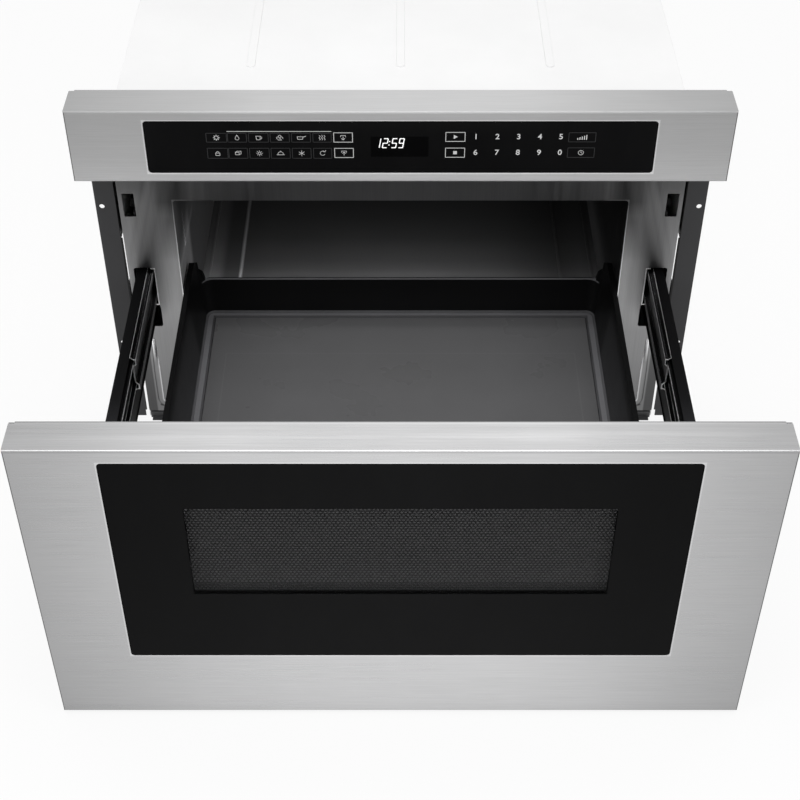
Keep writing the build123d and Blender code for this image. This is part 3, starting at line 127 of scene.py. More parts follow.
# ---------------------------------------------------------------- shader helpers
class Shader:
    """A new principled material with a few helpers that add nodes to it."""

    def __init__(self, name):
        self.material = bpy.data.materials.new(name)
        self.material.use_nodes = True
        self.tree = self.material.node_tree
        self.base = self.tree.nodes["Principled BSDF"]
        self.object_place = self.node("ShaderNodeTexCoord").outputs["Object"]

    def node(self, kind, **settings):
        made = self.tree.nodes.new(kind)
        for key, value in settings.items():
            setattr(made, key, value)
        return made

    def link(self, source, socket):
        self.tree.links.new(source, socket)

    def set(self, **values):
        fill(self.base, **values)

    def noise(self, scale, detail=3.0, roughness=0.55, stretch=(1.0, 1.0, 1.0)):
        """Noise whose features are stretched along the axes; scale is in features a metre."""
        mapping = self.node("ShaderNodeMapping")
        fill(mapping, Scale=stretch)
        self.link(self.object_place, mapping.inputs["Vector"])
        noise = self.node("ShaderNodeTexNoise")
        fill(noise, Scale=scale, Detail=detail, Roughness=roughness)
        self.link(mapping.outputs[0], noise.inputs["Vector"])
        return noise.outputs["Fac"]

    def ranged(self, value, low, high, start=0.0, end=1.0, smooth=False):
        """Maps a value from start..end onto low..high, held at the ends."""
        node = self.node("ShaderNodeMapRange")
        node.interpolation_type = "SMOOTHSTEP" if smooth else "LINEAR"
        fill(node, From_Min=start, From_Max=end, To_Min=low, To_Max=high)
        self.link(value, node.inputs["Value"])
        return node.outputs["Result"]

    def varied(self, noise, low, high):
        """Noise, whose values lie mostly between 0.3 and 0.7, onto low..high."""
        return self.ranged(noise, low, high, 0.3, 0.7)

    def math(self, operation, first, second=None):
        node = self.node("ShaderNodeMath", operation=operation)
        for index, value in enumerate((first, second)):
            if value is None:
                continue
            if isinstance(value, (int, float)):
                node.inputs[index].default_value = value
            else:
                self.link(value, node.inputs[index])
        return node.outputs[0]

    def times(self, first, second):
        return self.math("MULTIPLY", first, second)

    def axis(self, name):
        """A coordinate of the point in the row frame."""
        split = self.node("ShaderNodeSeparateXYZ")
        self.link(self.object_place, split.inputs[0])
        return split.outputs[name]

    def off_centre(self):
        """The point's distance from the centreline."""
        return self.math("ABSOLUTE", self.axis("X"))

    def distance(self, value, place):
        """How far a value is from a place, to either side."""
        return self.math("ABSOLUTE", self.math("SUBTRACT", value, place))

    def facing(self, name):
        """A component of the surface's normal."""
        geometry = self.node("ShaderNodeNewGeometry")
        split = self.node("ShaderNodeSeparateXYZ")
        self.link(geometry.outputs["Normal"], split.inputs[0])
        return split.outputs[name]

    def edges(self, radius):
        """1 close to a sharp edge, falling to 0 within the radius."""
        rounded = self.node("ShaderNodeBevel", samples=6)
        fill(rounded, Radius=radius)
        geometry = self.node("ShaderNodeNewGeometry")
        dot = self.node("ShaderNodeVectorMath", operation="DOT_PRODUCT")
        self.link(rounded.outputs[0], dot.inputs[0])
        self.link(geometry.outputs["True Normal"], dot.inputs[1])
        sharp, flat = 0.72, 0.97  # how far the rounded normal agrees with the true one
        return self.ranged(dot.outputs["Value"], 1.0, 0.0, sharp, flat)

    def beyond(self, x, z):
        """Distance outside a rectangle that is centred on X = 0, negative inside it."""
        across = self.math("SUBTRACT", self.off_centre(), x[1])
        from_middle = self.distance(self.axis("Z"), (z[0] + z[1]) / 2)
        above = self.math("SUBTRACT", from_middle, (z[1] - z[0]) / 2)
        return self.math("MAXIMUM", across, above)

    def outward(self):
        """The normal's X, positive away from the centreline on both sides."""
        side = self.math("SIGN", self.axis("X"))
        return self.times(self.facing("X"), side)

    def curve(self, value, stops):
        """A grey level that follows the (place, level) stops."""
        ramp = self.node("ShaderNodeValToRGB")
        low, high = stops[0][0], stops[-1][0]
        placed = self.ranged(value, 0.0, 1.0, low, high)
        elements = ramp.color_ramp.elements
        while len(elements) < len(stops):
            elements.new(0.5)
        for element, (place, level) in zip(elements, stops):
            element.position = (place - low) / (high - low)
            element.color = (level, level, level, 1.0)
        self.link(placed, ramp.inputs[0])
        return ramp.outputs["Color"]

    def tint(self, colour, *levels):
        """The colour times each grey level, into the base colour."""
        current = None
        for level in levels:
            mix = self.node("ShaderNodeMix", data_type="RGBA", blend_type="MULTIPLY")
            mix.inputs["Factor"].default_value = 1.0
            if current is None:
                mix.inputs["A"].default_value = (*colour, 1.0)
            else:
                self.link(current, mix.inputs["A"])
            self.link(level, mix.inputs["B"])
            current = mix.outputs["Result"]
        self.link(current, self.base.inputs["Base Color"])

    def bump(self, height, distance, strength=1.0, edge=None):
        """Bump from a height, over edges that are rounded by a radius where one is given."""
        node = self.node("ShaderNodeBump")
        fill(node, Strength=strength, Distance=distance)
        self.link(height, node.inputs["Height"])
        if edge:
            rounded = self.node("ShaderNodeBevel", samples=4)
            fill(rounded, Radius=edge)
            self.link(rounded.outputs[0], node.inputs["Normal"])
        self.link(node.outputs[0], self.base.inputs["Normal"])


EDGE_ROUNDING = 0.0004  # radius to which a piece's edges are rounded in its shading
GRAIN_STRETCH = 0.012  # scale of the grain's noise along the grain, where it is 1 across


def brushed(name, colour, rough, grain_along, grain=0.06, bands=None, metallic=1.0):
    """Brushed metal: fine lines along one axis, soft patches, and edges that catch the light."""
    shader = Shader(name)
    along = [GRAIN_STRETCH if axis == grain_along else 1.0 for axis in "XYZ"]
    lines = shader.noise(1400.0, 2.0, 0.7, along)
    coarse = shader.noise(260.0, 2.0, 0.6, along)
    patches = shader.noise(7.0, 3.0)
    levels = [
        shader.varied(lines, 1.0 - grain, 1.0 + grain),
        shader.varied(coarse, 1.0 - grain / 3, 1.0 + grain / 3),
        shader.varied(patches, 0.97, 1.03),
    ]
    if bands:
        levels.extend(bands(shader))
    shader.tint(colour, *levels)
    shader.set(Metallic=metallic, Anisotropic=0.5)
    streak = shader.varied(coarse, rough - 0.04, rough + 0.05)
    wear = shader.varied(patches, -0.03, 0.03)
    shader.link(shader.math("ADD", streak, wear), shader.base.inputs["Roughness"])
    shader.bump(lines, 0.00002, 0.35, EDGE_ROUNDING)
    return shader.material


def coated(
    name, colour, rough, specular=0.5, texture=900.0, depth=0.00002,
    spread=0.08, edge=EDGE_ROUNDING, bands=None,
):
    """Paint, powder coat, enamel or moulded plastic: a fine skin texture with worn, cloudy sheen."""
    shader = Shader(name)
    skin = shader.noise(texture, 3.0, 0.6)
    clouds = shader.noise(9.0, 4.0, 0.6)
    levels = [
        shader.varied(skin, 1.0 - spread / 2, 1.0 + spread / 2),
        shader.varied(clouds, 1.0 - spread, 1.0 + spread),
    ]
    if bands:
        levels.extend(bands(shader))
    shader.tint(colour, *levels)
    shader.set(Specular_IOR_Level=specular)
    shader.link(shader.varied(clouds, rough - 0.06, rough + 0.06), shader.base.inputs["Roughness"])
    shader.bump(skin, depth, 0.5, edge)
    return shader.material


def polished(name, colour, rough, specular, alpha=1.0, bands=None):
    """Smooth glass, with faint smears in its gloss."""
    shader = Shader(name)
    smears = shader.noise(24.0, 5.0, 0.65, (1.0, 1.0, 0.4))
    fine = shader.noise(420.0, 2.0)
    levels = [shader.varied(smears, 0.9, 1.1), shader.varied(fine, 0.97, 1.03)]
    if bands:
        levels.extend(bands(shader))
    shader.tint(colour, *levels)
    shader.link(shader.ranged(smears, rough, rough + 0.05, 0.35, 0.7), shader.base.inputs["Roughness"])
    shader.set(Specular_IOR_Level=specular, Alpha=alpha)
    shader.bump(fine, 0.000004, 0.3, 0.0003)
    return shader.material


def assign(material, *names):
    """Gives a CAD node its material."""
    for name in names:
        slots = nodes[name].data.materials
        slots.clear()
        slots.append(material)


def pair(name):
    return (f"{name}_left", f"{name}_right")


# ---------------------------------------------------------------- materials
def box_span(name):
    """A node's extent as ((low x, high x), (low z, high z)), and its lowest and highest Y."""
    low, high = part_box(name)
    return (low.x, high.x), (low.z, high.z), (low.y, high.y)


def painted_front_sheen(shader):
    """A painted reflection: brightest in the middle, falling off towards the ends."""
    stops = ((0.0, 1.0), (0.10, 0.97), (0.18, 0.86), (0.25, 0.72), (0.303, 0.62))
    return shader.curve(shader.off_centre(), stops)


def rolled_edge_shade(shader, roll):
    """Painted shade on rolled edges: the rolled top edges are painted a little darker than the flats, and the
    rolled ends carry a painted reflection of the dark.
    """
    top_stops = ((0.0, 1.0), (0.08, 0.86), (0.3, 0.86), (0.5, roll), (0.8, roll), (0.97, 1.0))
    end_stops = ((-1.0, 1.0), (0.25, 1.0), (0.55, 0.1), (0.93, 0.1), (0.985, 1.0), (1.0, 1.0))
    return [shader.curve(shader.facing("Z"), top_stops), shader.curve(shader.outward(), end_stops)]


def painted_rim_highlight(shader, glass, level):
    """A painted highlight: a bright line on the cut edge of the steel round a glass."""
    across, height, _ = box_span(glass)
    return shader.ranged(shader.beyond(across, height), level, 1.0, 0.0011, 0.0017)


def drawer_front_painted_light(shader):
    """Painted reflections and shade: the drawer front darkens towards its ends and foot, and its ledge ends
    in a painted highlight line and a painted shade line.
    """
    rear = box_span("drawer_skin")[2][1]
    # a painted highlight line, then a painted shade line, along the back of the ledge
    ledge = shader.curve(
        shader.axis("Y"),
        (
            (rear - 0.006, 1.0), (rear - 0.0034, 1.0), (rear - 0.003, 1.12), (rear - 0.0012, 1.12),
            (rear - 0.0008, 0.62), (rear, 0.6),
        ),
    )
    fall = shader.curve(shader.axis("Z"), ((0.004, 0.82), (0.02, 0.90), (0.10, 0.97), (0.20, 1.0)))
    rim = painted_rim_highlight(shader, "drawer_glass", 1.3)
    return [painted_front_sheen(shader), fall, *rolled_edge_shade(shader, 0.74), rim, ledge]


def fascia_painted_light(shader):
    """Painted reflection and shade: the fascia darkens towards its ends, its top and its upward faces, with a
    painted highlight round its glass.
    """
    low, high = box_span("control_fascia")[1]
    stops = ((low, 1.24), (low + 0.03, 1.06), (high - 0.004, 0.92), (high, 0.92))
    fall = shader.curve(shader.axis("Z"), stops)
    sheen = shader.curve(shader.off_centre(), ((0.0, 1.0), (0.12, 0.96), (0.20, 0.80), (0.303, 0.64)))
    top = shader.ranged(shader.facing("Z"), 1.0, 0.84, 0.9, 0.98)
    return [sheen, fall, top, *rolled_edge_shade(shader, 0.8), painted_rim_highlight(shader, "control_glass", 1.5)]


def blended(shader, share, level):
    """1 where the share is 0, and the level where it is 1."""
    return shader.math("ADD", shader.times(share, shader.math("SUBTRACT", level, 1.0)), 1.0)


PLATE_SLANT = 0.25  # how far the plate's painted reflections lean outwards for each metre of height
SPOT_PLACE = (0.257, 0.019)  # out from the centreline, and height, of the dark spot painted on each side as a hole in shade
SPOT_FLATNESS = 1.9  # the spot's width over its height


def face_plate_painted_light(shader):
    """Painted reflections and shade on the face plate, a painted highlight on the cut edge at the opening,
    and a painted dark spot low down as a hole in shade.
    """
    height = shader.axis("Z")
    across = shader.off_centre()
    slant = shader.math("ADD", across, shader.times(height, PLATE_SLANT))
    cavity = box_span("cavity_back")
    opening = shader.beyond(cavity[0], cavity[1])
    on_side = shader.ranged(across, 0.0, 1.0, 0.200, 0.215)
    cut_edge_highlight = shader.times(on_side, shader.ranged(opening, 1.8, 0.0, 0.0006, 0.0011))
    spot_x = shader.math("SUBTRACT", across, SPOT_PLACE[0])
    spot_z = shader.times(shader.math("SUBTRACT", height, SPOT_PLACE[1]), SPOT_FLATNESS)
    spot = shader.math("SQRT", shader.math("ADD", shader.times(spot_x, spot_x), shader.times(spot_z, spot_z)))
    inner_side = shader.times(shader.ranged(slant, 1.0, 0.0, 0.292, 0.306), on_side)
    # painted reflections beside the opening, brightest at mid height
    inner = shader.curve(
        height,
        (
            (0.02, 0.45), (0.053, 0.52), (0.087, 0.62), (0.122, 0.68), (0.145, 0.80), (0.165, 0.88),
            (0.190, 1.12), (0.213, 1.35), (0.237, 1.0), (0.261, 0.57), (0.285, 0.42), (0.335, 0.3),
        ),
    )
    outer_side = shader.ranged(slant, 0.0, 1.0, 0.312, 0.324)
    outer_stops = (
        (0.10, 1.0), (0.18, 1.05), (0.21, 0.64), (0.24, 0.54), (0.28, 0.42), (0.30, 0.28),
        (0.335, 0.2),
    )
    # painted shade across the lintel under the fascia
    lintel = shader.ranged(height, 0.0, 1.0, 0.268, 0.284)
    lintel_level = shader.curve(
        across,
        (
            (0.0, 0.86), (0.10, 0.80), (0.145, 0.68), (0.19, 0.50), (0.222, 0.45), (0.233, 0.55),
            (0.242, 0.95), (0.25, 1.05),
        ),
    )
    # painted shade low on the plate's outermost strip
    outermost = shader.ranged(across, 0.0, 1.0, 0.2632, 0.2645)
    low_edge = shader.times(outermost, shader.ranged(height, 1.0, 0.0, 0.13, 0.15))
    slant_stops = (
        (0.20, 1.0), (0.285, 1.0), (0.298, 0.78), (0.305, 0.5), (0.315, 0.5), (0.321, 0.85),
        (0.328, 1.2),
    )
    return [
        shader.curve(slant, slant_stops),
        blended(shader, inner_side, inner),
        blended(shader, outer_side, shader.curve(height, outer_stops)),
        blended(shader, lintel, lintel_level),
        blended(shader, low_edge, 0.45),
        shader.math("ADD", cut_edge_highlight, 1.0),
        shader.ranged(spot, 0.3, 1.0, 0.0028, 0.0042),
    ]


def bead_painted_light(shader):
    """Painted light on the bead: its inner and upward slopes are painted bright and its outer and downward
    slopes in painted shade, darker towards the bottom.
    """
    return [
        shader.curve(shader.axis("Z"), ((0.01, 0.5), (0.053, 0.6), (0.122, 0.8))),
        shader.curve(shader.outward(), ((-0.6, 3.2), (-0.2, 1.0), (0.2, 0.9), (0.6, 0.4))),
        shader.curve(shader.facing("Z"), ((-0.6, 0.4), (-0.2, 1.0), (0.2, 1.0), (0.6, 2.4))),
    ]


def flange_painted_shade(shader):
    """The return beside the case is painted dark as shade."""
    return [shader.ranged(shader.off_centre(), 0.12, 1.0, 0.2762, 0.2766)]


PAINTED_END_HIGHLIGHT = 60.0  # how much brighter than the plating a slide's cut end is painted, as a painted highlight
PAINTED_EDGE_HIGHLIGHT = 90.0  # and its other edges, as painted highlights too


def slide_painted_highlights(shader):
    """Black plated steel with painted highlights on its cut ends and edges."""
    ends = shader.ranged(shader.facing("Y"), PAINTED_END_HIGHLIGHT, 0.0, -0.95, -0.85)
    lines = shader.ranged(shader.edges(0.0013), 1.0, PAINTED_EDGE_HIGHLIGHT, 0.12, 0.8)
    return [shader.math("MAXIMUM", ends, lines)]


def arm_painted_light(shader):
    """The arms are painted in shade near the case and painted lighter further out."""
    stops = ((-0.40, 7.0), (-0.24, 6.0), (-0.19, 1.6), (-0.15, 1.0), (0.0, 1.0))
    return [shader.curve(shader.axis("Y"), stops)]


def cavity_floor_painted_light(shader):
    """Painted shade and highlights: the cavity floor is painted darker towards the back, and its ribs carry a
    painted sheen.
    """
    return [
        shader.curve(
            shader.axis("Y"),
            (
                (0.0, 2.4), (0.132, 2.2), (0.143, 1.5), (0.157, 1.1), (0.20, 0.62), (0.24, 0.48),
                (0.28, 0.45), (0.42, 0.3),
            ),
        ),
        shader.curve(
            shader.axis("X"),
            (
                (-0.221, 1.2), (-0.212, 1.9), (-0.203, 1.6), (-0.196, 0.8), (-0.1812, 0.8),
                (-0.1800, 4.4), (-0.1774, 4.4), (-0.1762, 0.9), (-0.150, 1.0), (0.04, 1.0),
                (0.12, 0.8), (0.1762, 0.5), (0.1774, 0.6), (0.1800, 0.6), (0.1812, 0.45),
                (0.203, 0.6), (0.221, 0.5),
            ),
        ),
    ]


DASH_DEPTH = 0.045  # how far behind the plate the column of dashes runs
DASH_MIDDLE = 0.2195  # height of the middle of the column
DASHES_A_METRE = 200.0
LIT_LINE = 0.201  # height of the painted level line of light on the walls


def wall_painted_light(shader):
    """Painted light: the cavity walls are painted lighter low down and near the mouth, where a column of
    short dashes is painted as highlights.
    """
    height = shader.axis("Z")
    depth = shader.axis("Y")
    beside = shader.ranged(shader.distance(depth, DASH_DEPTH), 1.0, 0.0, 0.0035, 0.0045)
    beat = shader.math("FRACT", shader.times(height, DASHES_A_METRE))
    dash = shader.times(beside, shader.ranged(beat, 1.0, 0.0, 0.4, 0.5))
    in_column = shader.ranged(shader.distance(height, DASH_MIDDLE), 1.8, 0.0, 0.0215, 0.0220)
    shown = shader.times(dash, in_column)
    mouth = shader.ranged(depth, 1.0, 0.0, 0.006, 0.035)
    near = shader.ranged(depth, 1.0, 0.0, 0.070, 0.085)
    low = shader.times(shader.ranged(height, 2.4, 0.0, 0.203, 0.228), near)
    on_line = shader.ranged(shader.distance(height, LIT_LINE), 0.8, 0.0, 0.002, 0.006)
    line = shader.times(on_line, shader.ranged(depth, 1.0, 0.0, 0.105, 0.120))
    lit = shader.math("ADD", shader.math("MAXIMUM", low, mouth), line)
    left = shader.ranged(shader.axis("X"), 1.0, 0.0, -0.10, 0.10)
    # the right wall is painted darker, as painted shade
    right = shader.curve(height, ((0.118, 0.62), (0.128, 0.42), (0.144, 0.2), (0.168, 0.12), (0.28, 0.1)))
    return [
        shader.curve(height, ((0.10, 1.5), (0.20, 1.0), (0.28, 0.8))),
        blended(shader, shader.ranged(shader.axis("X"), 0.0, 1.0, 0.10, 0.215), right),
        shader.math("ADD", shader.times(lit, left), 1.0),
        shader.math("ADD", shown, 1.0),
    ]


REAR_TOP = 0.149  # height of the tub's rear wall
FLOOR_PAINTED_LIGHT = 36.0  # how much lighter the tub's floor and border are painted than its walls, as painted light on upward faces


def tray_painted_light(shader):
    """Painted light: the tub's floor and border are painted lighter than its walls, the walls lighter low
    down and towards the front, and the rim is left black.
    """
    height = shader.axis("Z")
    upward = shader.ranged(shader.facing("Z"), 0.0, 1.0, 0.55, 0.95, smooth=True)
    low_down = shader.ranged(height, 1.0, 0.0, 0.112, 0.14)
    upward_painted_light = shader.times(upward, low_down)
    sideways = shader.ranged(shader.math("ABSOLUTE", shader.facing("X")), 0.0, 1.0, 0.4, 0.9)
    forward = shader.curve(
        shader.axis("Y"),
        (
            (-0.38, 9.0), (-0.25, 7.8), (-0.148, 6.4), (-0.12, 5.8), (-0.085, 4.8), (-0.031, 4.0),
            (-0.022, 1.2), (0.05, 0.9),
        ),
    )
    below_rim = shader.ranged(height, 1.0, 0.0, 0.165, 0.178)
    walls = shader.ranged(height, 1.4, 0.5, 0.12, 0.178)
    side_level = blended(shader, shader.times(sideways, below_rim), forward)
    at_rear = shader.ranged(shader.axis("Y"), 0.0, 1.0, 0.045, 0.047)
    at_top = shader.ranged(shader.distance(height, REAR_TOP), 1.0, 0.0, 0.0006, 0.0010)
    # a painted highlight, then a painted shade line, along the top of the rear wall
    rear_stops = ((0.0500, 30.0), (0.0540, 30.0), (0.0545, 0.4), (0.056, 0.4))
    return [
        shader.math("ADD", shader.times(upward_painted_light, FLOOR_PAINTED_LIGHT), shader.times(walls, side_level)),
        blended(shader, shader.times(at_rear, at_top), shader.curve(shader.axis("Y"), rear_stops)),
    ]


LINE_FROM_SIDE = 0.016  # the floor plate's pressed line, painted as a highlight, in from the plate's sides
LINE_FROM_END = 0.058  # and in from its front and rear


def tray_plate_painted_light(shader):
    """Painted light: the glass plate is painted a little lighter towards the front, inside a faint pressed
    line painted as a highlight.
    """
    across, _, depth = box_span("tray_plate")
    along = shader.math("SUBTRACT", shader.axis("Y"), (depth[0] + depth[1]) / 2)
    inner_x = shader.math("SUBTRACT", shader.off_centre(), across[1] - LINE_FROM_SIDE)
    half_depth = (depth[1] - depth[0]) / 2
    inner_y = shader.math("SUBTRACT", shader.math("ABSOLUTE", along), half_depth - LINE_FROM_END)
    away = shader.math("ABSOLUTE", shader.math("MAXIMUM", inner_x, inner_y))
    return [
        shader.curve(along, ((-0.20, 1.0), (0.0, 1.06), (0.12, 1.08), (0.20, 1.34))),
        shader.ranged(away, 1.12, 1.0, 0.0004, 0.0010),
    ]


def drawer_glass_painted_sheen_and_edge(shader):
    """The drawer's glass darkens towards its ends as a painted reflection."""
    sheen = shader.curve(shader.off_centre(), ((0.0, 1.0), (0.10, 0.9), (0.20, 0.6), (0.303, 0.4)))
    return [sheen, glass_edge(shader, "drawer_glass")]


def control_glass_bands(shader):
    return [glass_edge(shader, "control_glass")]


def glass_edge(shader, glass):
    """The black line just inside a glass's edge."""
    across, height, _ = box_span(glass)
    return shader.ranged(shader.beyond(across, height), 1.0, 0.3, -0.0011, -0.0008)


steel = brushed("stainless", (0.66, 0.66, 0.665), 0.30, "X", bands=drawer_front_painted_light)
fascia_steel = brushed("fascia_stainless", (0.67, 0.67, 0.673), 0.4, "X", bands=fascia_painted_light, metallic=0.12)
# the face plate and its beads get a darker steel than the drawer front, as painted shade of the darker
# surroundings they reflect
plate_steel = brushed("plate_stainless", (0.38, 0.38, 0.384), 0.36, "Z", bands=face_plate_painted_light)
bead_steel = brushed("bead_stainless", (0.38, 0.38, 0.384), 0.36, "Z", bands=bead_painted_light)
slide_steel = brushed("slide_steel", (0.018, 0.018, 0.019), 0.34, "Y", bands=slide_painted_highlights)
galvanised = brushed("galvanised", (0.5, 0.51, 0.52), 0.42, "Z", grain=0.1)
bright_metal = brushed("bright_metal", (0.70, 0.70, 0.71), 0.32, "Y")
motor_steel = brushed("motor_steel", (0.45, 0.45, 0.46), 0.38, "Z")
white_coat = coated("case_white", (0.86, 0.86, 0.86), 0.55, 0.3, 1500.0, 0.00004, 0.02)
base_coat = coated("base_grey", (0.05, 0.05, 0.052), 0.5)
flange_coat = coated("flange_grey", (0.042, 0.042, 0.044), 0.5, 0.3, bands=flange_painted_shade)
enamel = coated("cavity_enamel", (0.085, 0.085, 0.087), 0.42, 0.12, 500.0, 0.00003, bands=wall_painted_light)
floor_enamel = coated(
    "cavity_floor_enamel", (0.10, 0.10, 0.102), 0.42, 0.2, 500.0, 0.00003, bands=cavity_floor_painted_light
)
tray_enamel = coated("tray_black", (0.0055, 0.0055, 0.0058), 0.45, 0.09, 700.0, bands=tray_painted_light)
plate_glass = coated("plate_glass", (0.124, 0.124, 0.127), 0.30, 0.3, 1100.0, 0.00001, 0.04, bands=tray_plate_painted_light)
arm_coat = coated("arm_black", (0.0035, 0.0035, 0.0038), 0.5, 0.04, bands=arm_painted_light)
plastic = coated("black_plastic", (0.016, 0.016, 0.017), 0.5, 0.3)
board = coated("board_green", (0.03, 0.12, 0.05), 0.45)
mica = coated("mica", (0.55, 0.50, 0.40), 0.6)
black_glass = polished("black_glass", (0.0068, 0.0068, 0.0071), 0.06, 0.034, bands=drawer_glass_painted_sheen_and_edge)
control_black = polished("control_black", (0.0078, 0.0078, 0.0081), 0.06, 0.08, bands=control_glass_bands)

assign(steel, "drawer_skin")
assign(fascia_steel, "control_fascia")
assign(plate_steel, "face_plate")
assign(slide_steel, *pair("cabinet_slide"), *pair("mid_slide"), *pair("drawer_slide"))
assign(bright_metal, *pair("outer_cage"), *pair("inner_cage"), "waveguide", "magnetron", "capacitor")
assign(galvanised, "slide_supports", "fascia_cover", "rack_guide")
assign(white_coat, *pair("side_panel"), "top_cover", "rear_panel", "case_screws")
assign(base_coat, "base_pan")
assign(flange_coat, *pair("mounting_flange"))
assign(enamel, *pair("cavity_wall"), "cavity_back", "cavity_ceiling")
assign(floor_enamel, "cavity_floor")
assign(tray_enamel, "tray")
assign(plate_glass, "tray_plate")
assign(arm_coat, *pair("drawer_arm"))
assign(plastic, "drawer_frame", "control_carrier", *pair("latch_bracket"), *pair("latch_lever"))
assign(plastic, "latch_hooks", "drive_rack", "drive_pinion", "fan_housing", "fan_impeller", "power_gland")
assign(board, "control_board", "noise_filter")
assign(motor_steel, "stirrer_motor", "fan_motor", "gear_motor", "transformer", "stirrer")
assign(mica, "stirrer_cover", "cavity_lamp")
assign(control_black, "control_glass")
assign(black_glass, "drawer_glass")


# ---------------------------------------------------------------- mesh helpers
def mesh_piece(name, points, faces, materials, body, face_materials=None):
    """A new piece from points in metres and faces, riding on a body."""
    mesh = bpy.data.meshes.new(name)
    mesh.from_pydata(points, [], faces)
    for material in materials:
        mesh.materials.append(material)
    if face_materials:
        mesh.polygons.foreach_set("material_index", face_materials)
    mesh.update()
    piece = bpy.data.objects.new(name, mesh)
    bpy.context.scene.collection.objects.link(piece)
    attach(piece, body)
    return piece


def rounded_loop(x, z, radius, steps=6):
    """Points (x, z) round a rectangle with round corners, anticlockwise seen from the front."""
    loop = []
    corners = (
        (x[1] - radius, z[0] + radius, -90.0),
        (x[1] - radius, z[1] - radius, 0.0),
        (x[0] + radius, z[1] - radius, 90.0),
        (x[0] + radius, z[0] + radius, 180.0),
    )
    for centre_x, centre_z, start in corners:
        for step in range(steps + 1):
            angle = radians(start + 90.0 * step / steps)
            loop.append((centre_x + radius * cos(angle), centre_z + radius * sin(angle)))
    return loop


# ---------------------------------------------------------------- window
WINDOW = ((-0.1760, 0.1760), (0.1465, 0.2690))  # the field of holes
CLEAR = ((-0.1712, 0.1712), (0.1648, 0.2667))  # the unprinted part of the glass
GLASS_CORNER = 0.0035
CLEAR_CORNER = 0.001


def make_window_glass():
    """The drawer's glass: black print all round, left clear over the perforated screen."""
    low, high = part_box("drawer_glass")
    front, back = low.y, high.y
    outer = rounded_loop((low.x, high.x), (low.z, high.z), GLASS_CORNER)
    inner = rounded_loop(*CLEAR, CLEAR_CORNER)
    count = len(outer)
    points = []
    for y in (front, back):
        points += [(x, y, z) for x, z in outer]
        points += [(x, y, z) for x, z in inner]
    faces, kinds = [], []
    for index in range(count):
        after = (index + 1) % count
        faces.append((index, after, count + after, count + index))
        faces.append((2 * count + index, 3 * count + index, 3 * count + after, 2 * count + after))
        faces.append((index, 2 * count + index, 2 * count + after, after))
        kinds += [0, 0, 0]
    faces.append(tuple(range(count, 2 * count)))
    faces.append(tuple(range(4 * count - 1, 3 * count - 1, -1)))
    kinds += [1, 1]
    clear = polished("clear_window", (0.006, 0.006, 0.0062), 0.06, 0.034, alpha=0.22)
    piece = mesh_piece("drawer_pane", points, faces, [black_glass, clear], "drawer", kinds)
    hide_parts("drawer_glass")


def screen_painted_light(shader):
    """Painted light: the screen is painted lighter towards its lower edge."""
    stops = ((0.150, 3.0), (0.163, 2.4), (0.175, 1.5), (0.190, 1.0), (0.207, 0.84), (0.27, 0.81))
    return [shader.curve(shader.axis("Z"), stops)]


def make_window_screen():
    """A perforated sheet: staggered round holes with walls, inside a plain margin."""
    low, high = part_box("window_screen")
    pitch = 3.4 * MM
    row_pitch = pitch * cos(radians(30.0))
    radius = 1.2 * MM
    columns = int((WINDOW[0][1] - WINDOW[0][0]) / pitch)
    rows = int((WINDOW[1][1] - WINDOW[1][0]) / row_pitch)
    left = -columns * pitch / 2
    base = (WINDOW[1][0] + WINDOW[1][1]) / 2 - rows * row_pitch / 2
    points, faces = [], []
    half = pitch / 2
    rise = row_pitch / 2
    ways = [(1, 0), (1, 1), (0, 1), (-1, 1), (-1, 0), (-1, -1), (0, -1), (1, -1)]
    sides = len(ways)
    for row in range(rows):
        shift = half / 2 if row % 2 else -half / 2
        for column in range(columns):
            centre_x = left + (column + 0.5) * pitch + shift
            centre_z = base + (row + 0.5) * row_pitch
            start = len(points)
            for y in (low.y, high.y):
                for dx, dz in ways:
                    points.append((centre_x + dx * half, y, centre_z + dz * rise))
                for dx, dz in ways:
                    length = hypot(dx, dz)
                    points.append((centre_x + radius * dx / length, y, centre_z + radius * dz / length))
            for index in range(sides):
                after = (index + 1) % sides
                ring, behind, hole_behind = start + sides, start + 2 * sides, start + 3 * sides
                faces.append((start + index, start + after, ring + after, ring + index))
                faces.append((behind + after, behind + index, hole_behind + index, hole_behind + after))
                faces.append((ring + index, ring + after, hole_behind + after, hole_behind + index))
    screen_paint = coated("screen", (0.051, 0.051, 0.0525), 0.45, 0.2, edge=None, bands=screen_painted_light)
    margin_paint = coated("screen_margin", (0.02, 0.02, 0.0205), 0.5, 0.1, edge=None)
    piece = mesh_piece("perforated_screen", points, faces, [screen_paint, margin_paint], "drawer")
    # a plain border joins the field of holes to the sheet's own edge
    field = bmesh.new()
    field.from_mesh(piece.data)
    bmesh.ops.remove_doubles(field, verts=field.verts, dist=0.01 * MM)
    edge_x = columns * pitch / 2 + half / 2
    top = base + rows * row_pitch
    for x, z in (
        ((low.x, -edge_x + half), (low.z, high.z)),
        ((edge_x - half, high.x), (low.z, high.z)),
        ((-edge_x + half, edge_x - half), (low.z, base)),
        ((-edge_x + half, edge_x - half), (top, high.z)),
    ):
        place = Matrix.Translation(((x[0] + x[1]) / 2, (low.y + high.y) / 2, (z[0] + z[1]) / 2))
        size = Matrix.Diagonal((x[1] - x[0], high.y - low.y, z[1] - z[0], 1.0))
        made = bmesh.ops.create_cube(field, size=1.0, matrix=place @ size)
        for face in {face for corner in made["verts"] for face in corner.link_faces}:
            face.material_index = 1
    field.to_mesh(piece.data)
    field.free()
    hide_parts("window_screen")


make_window_glass()
make_window_screen()


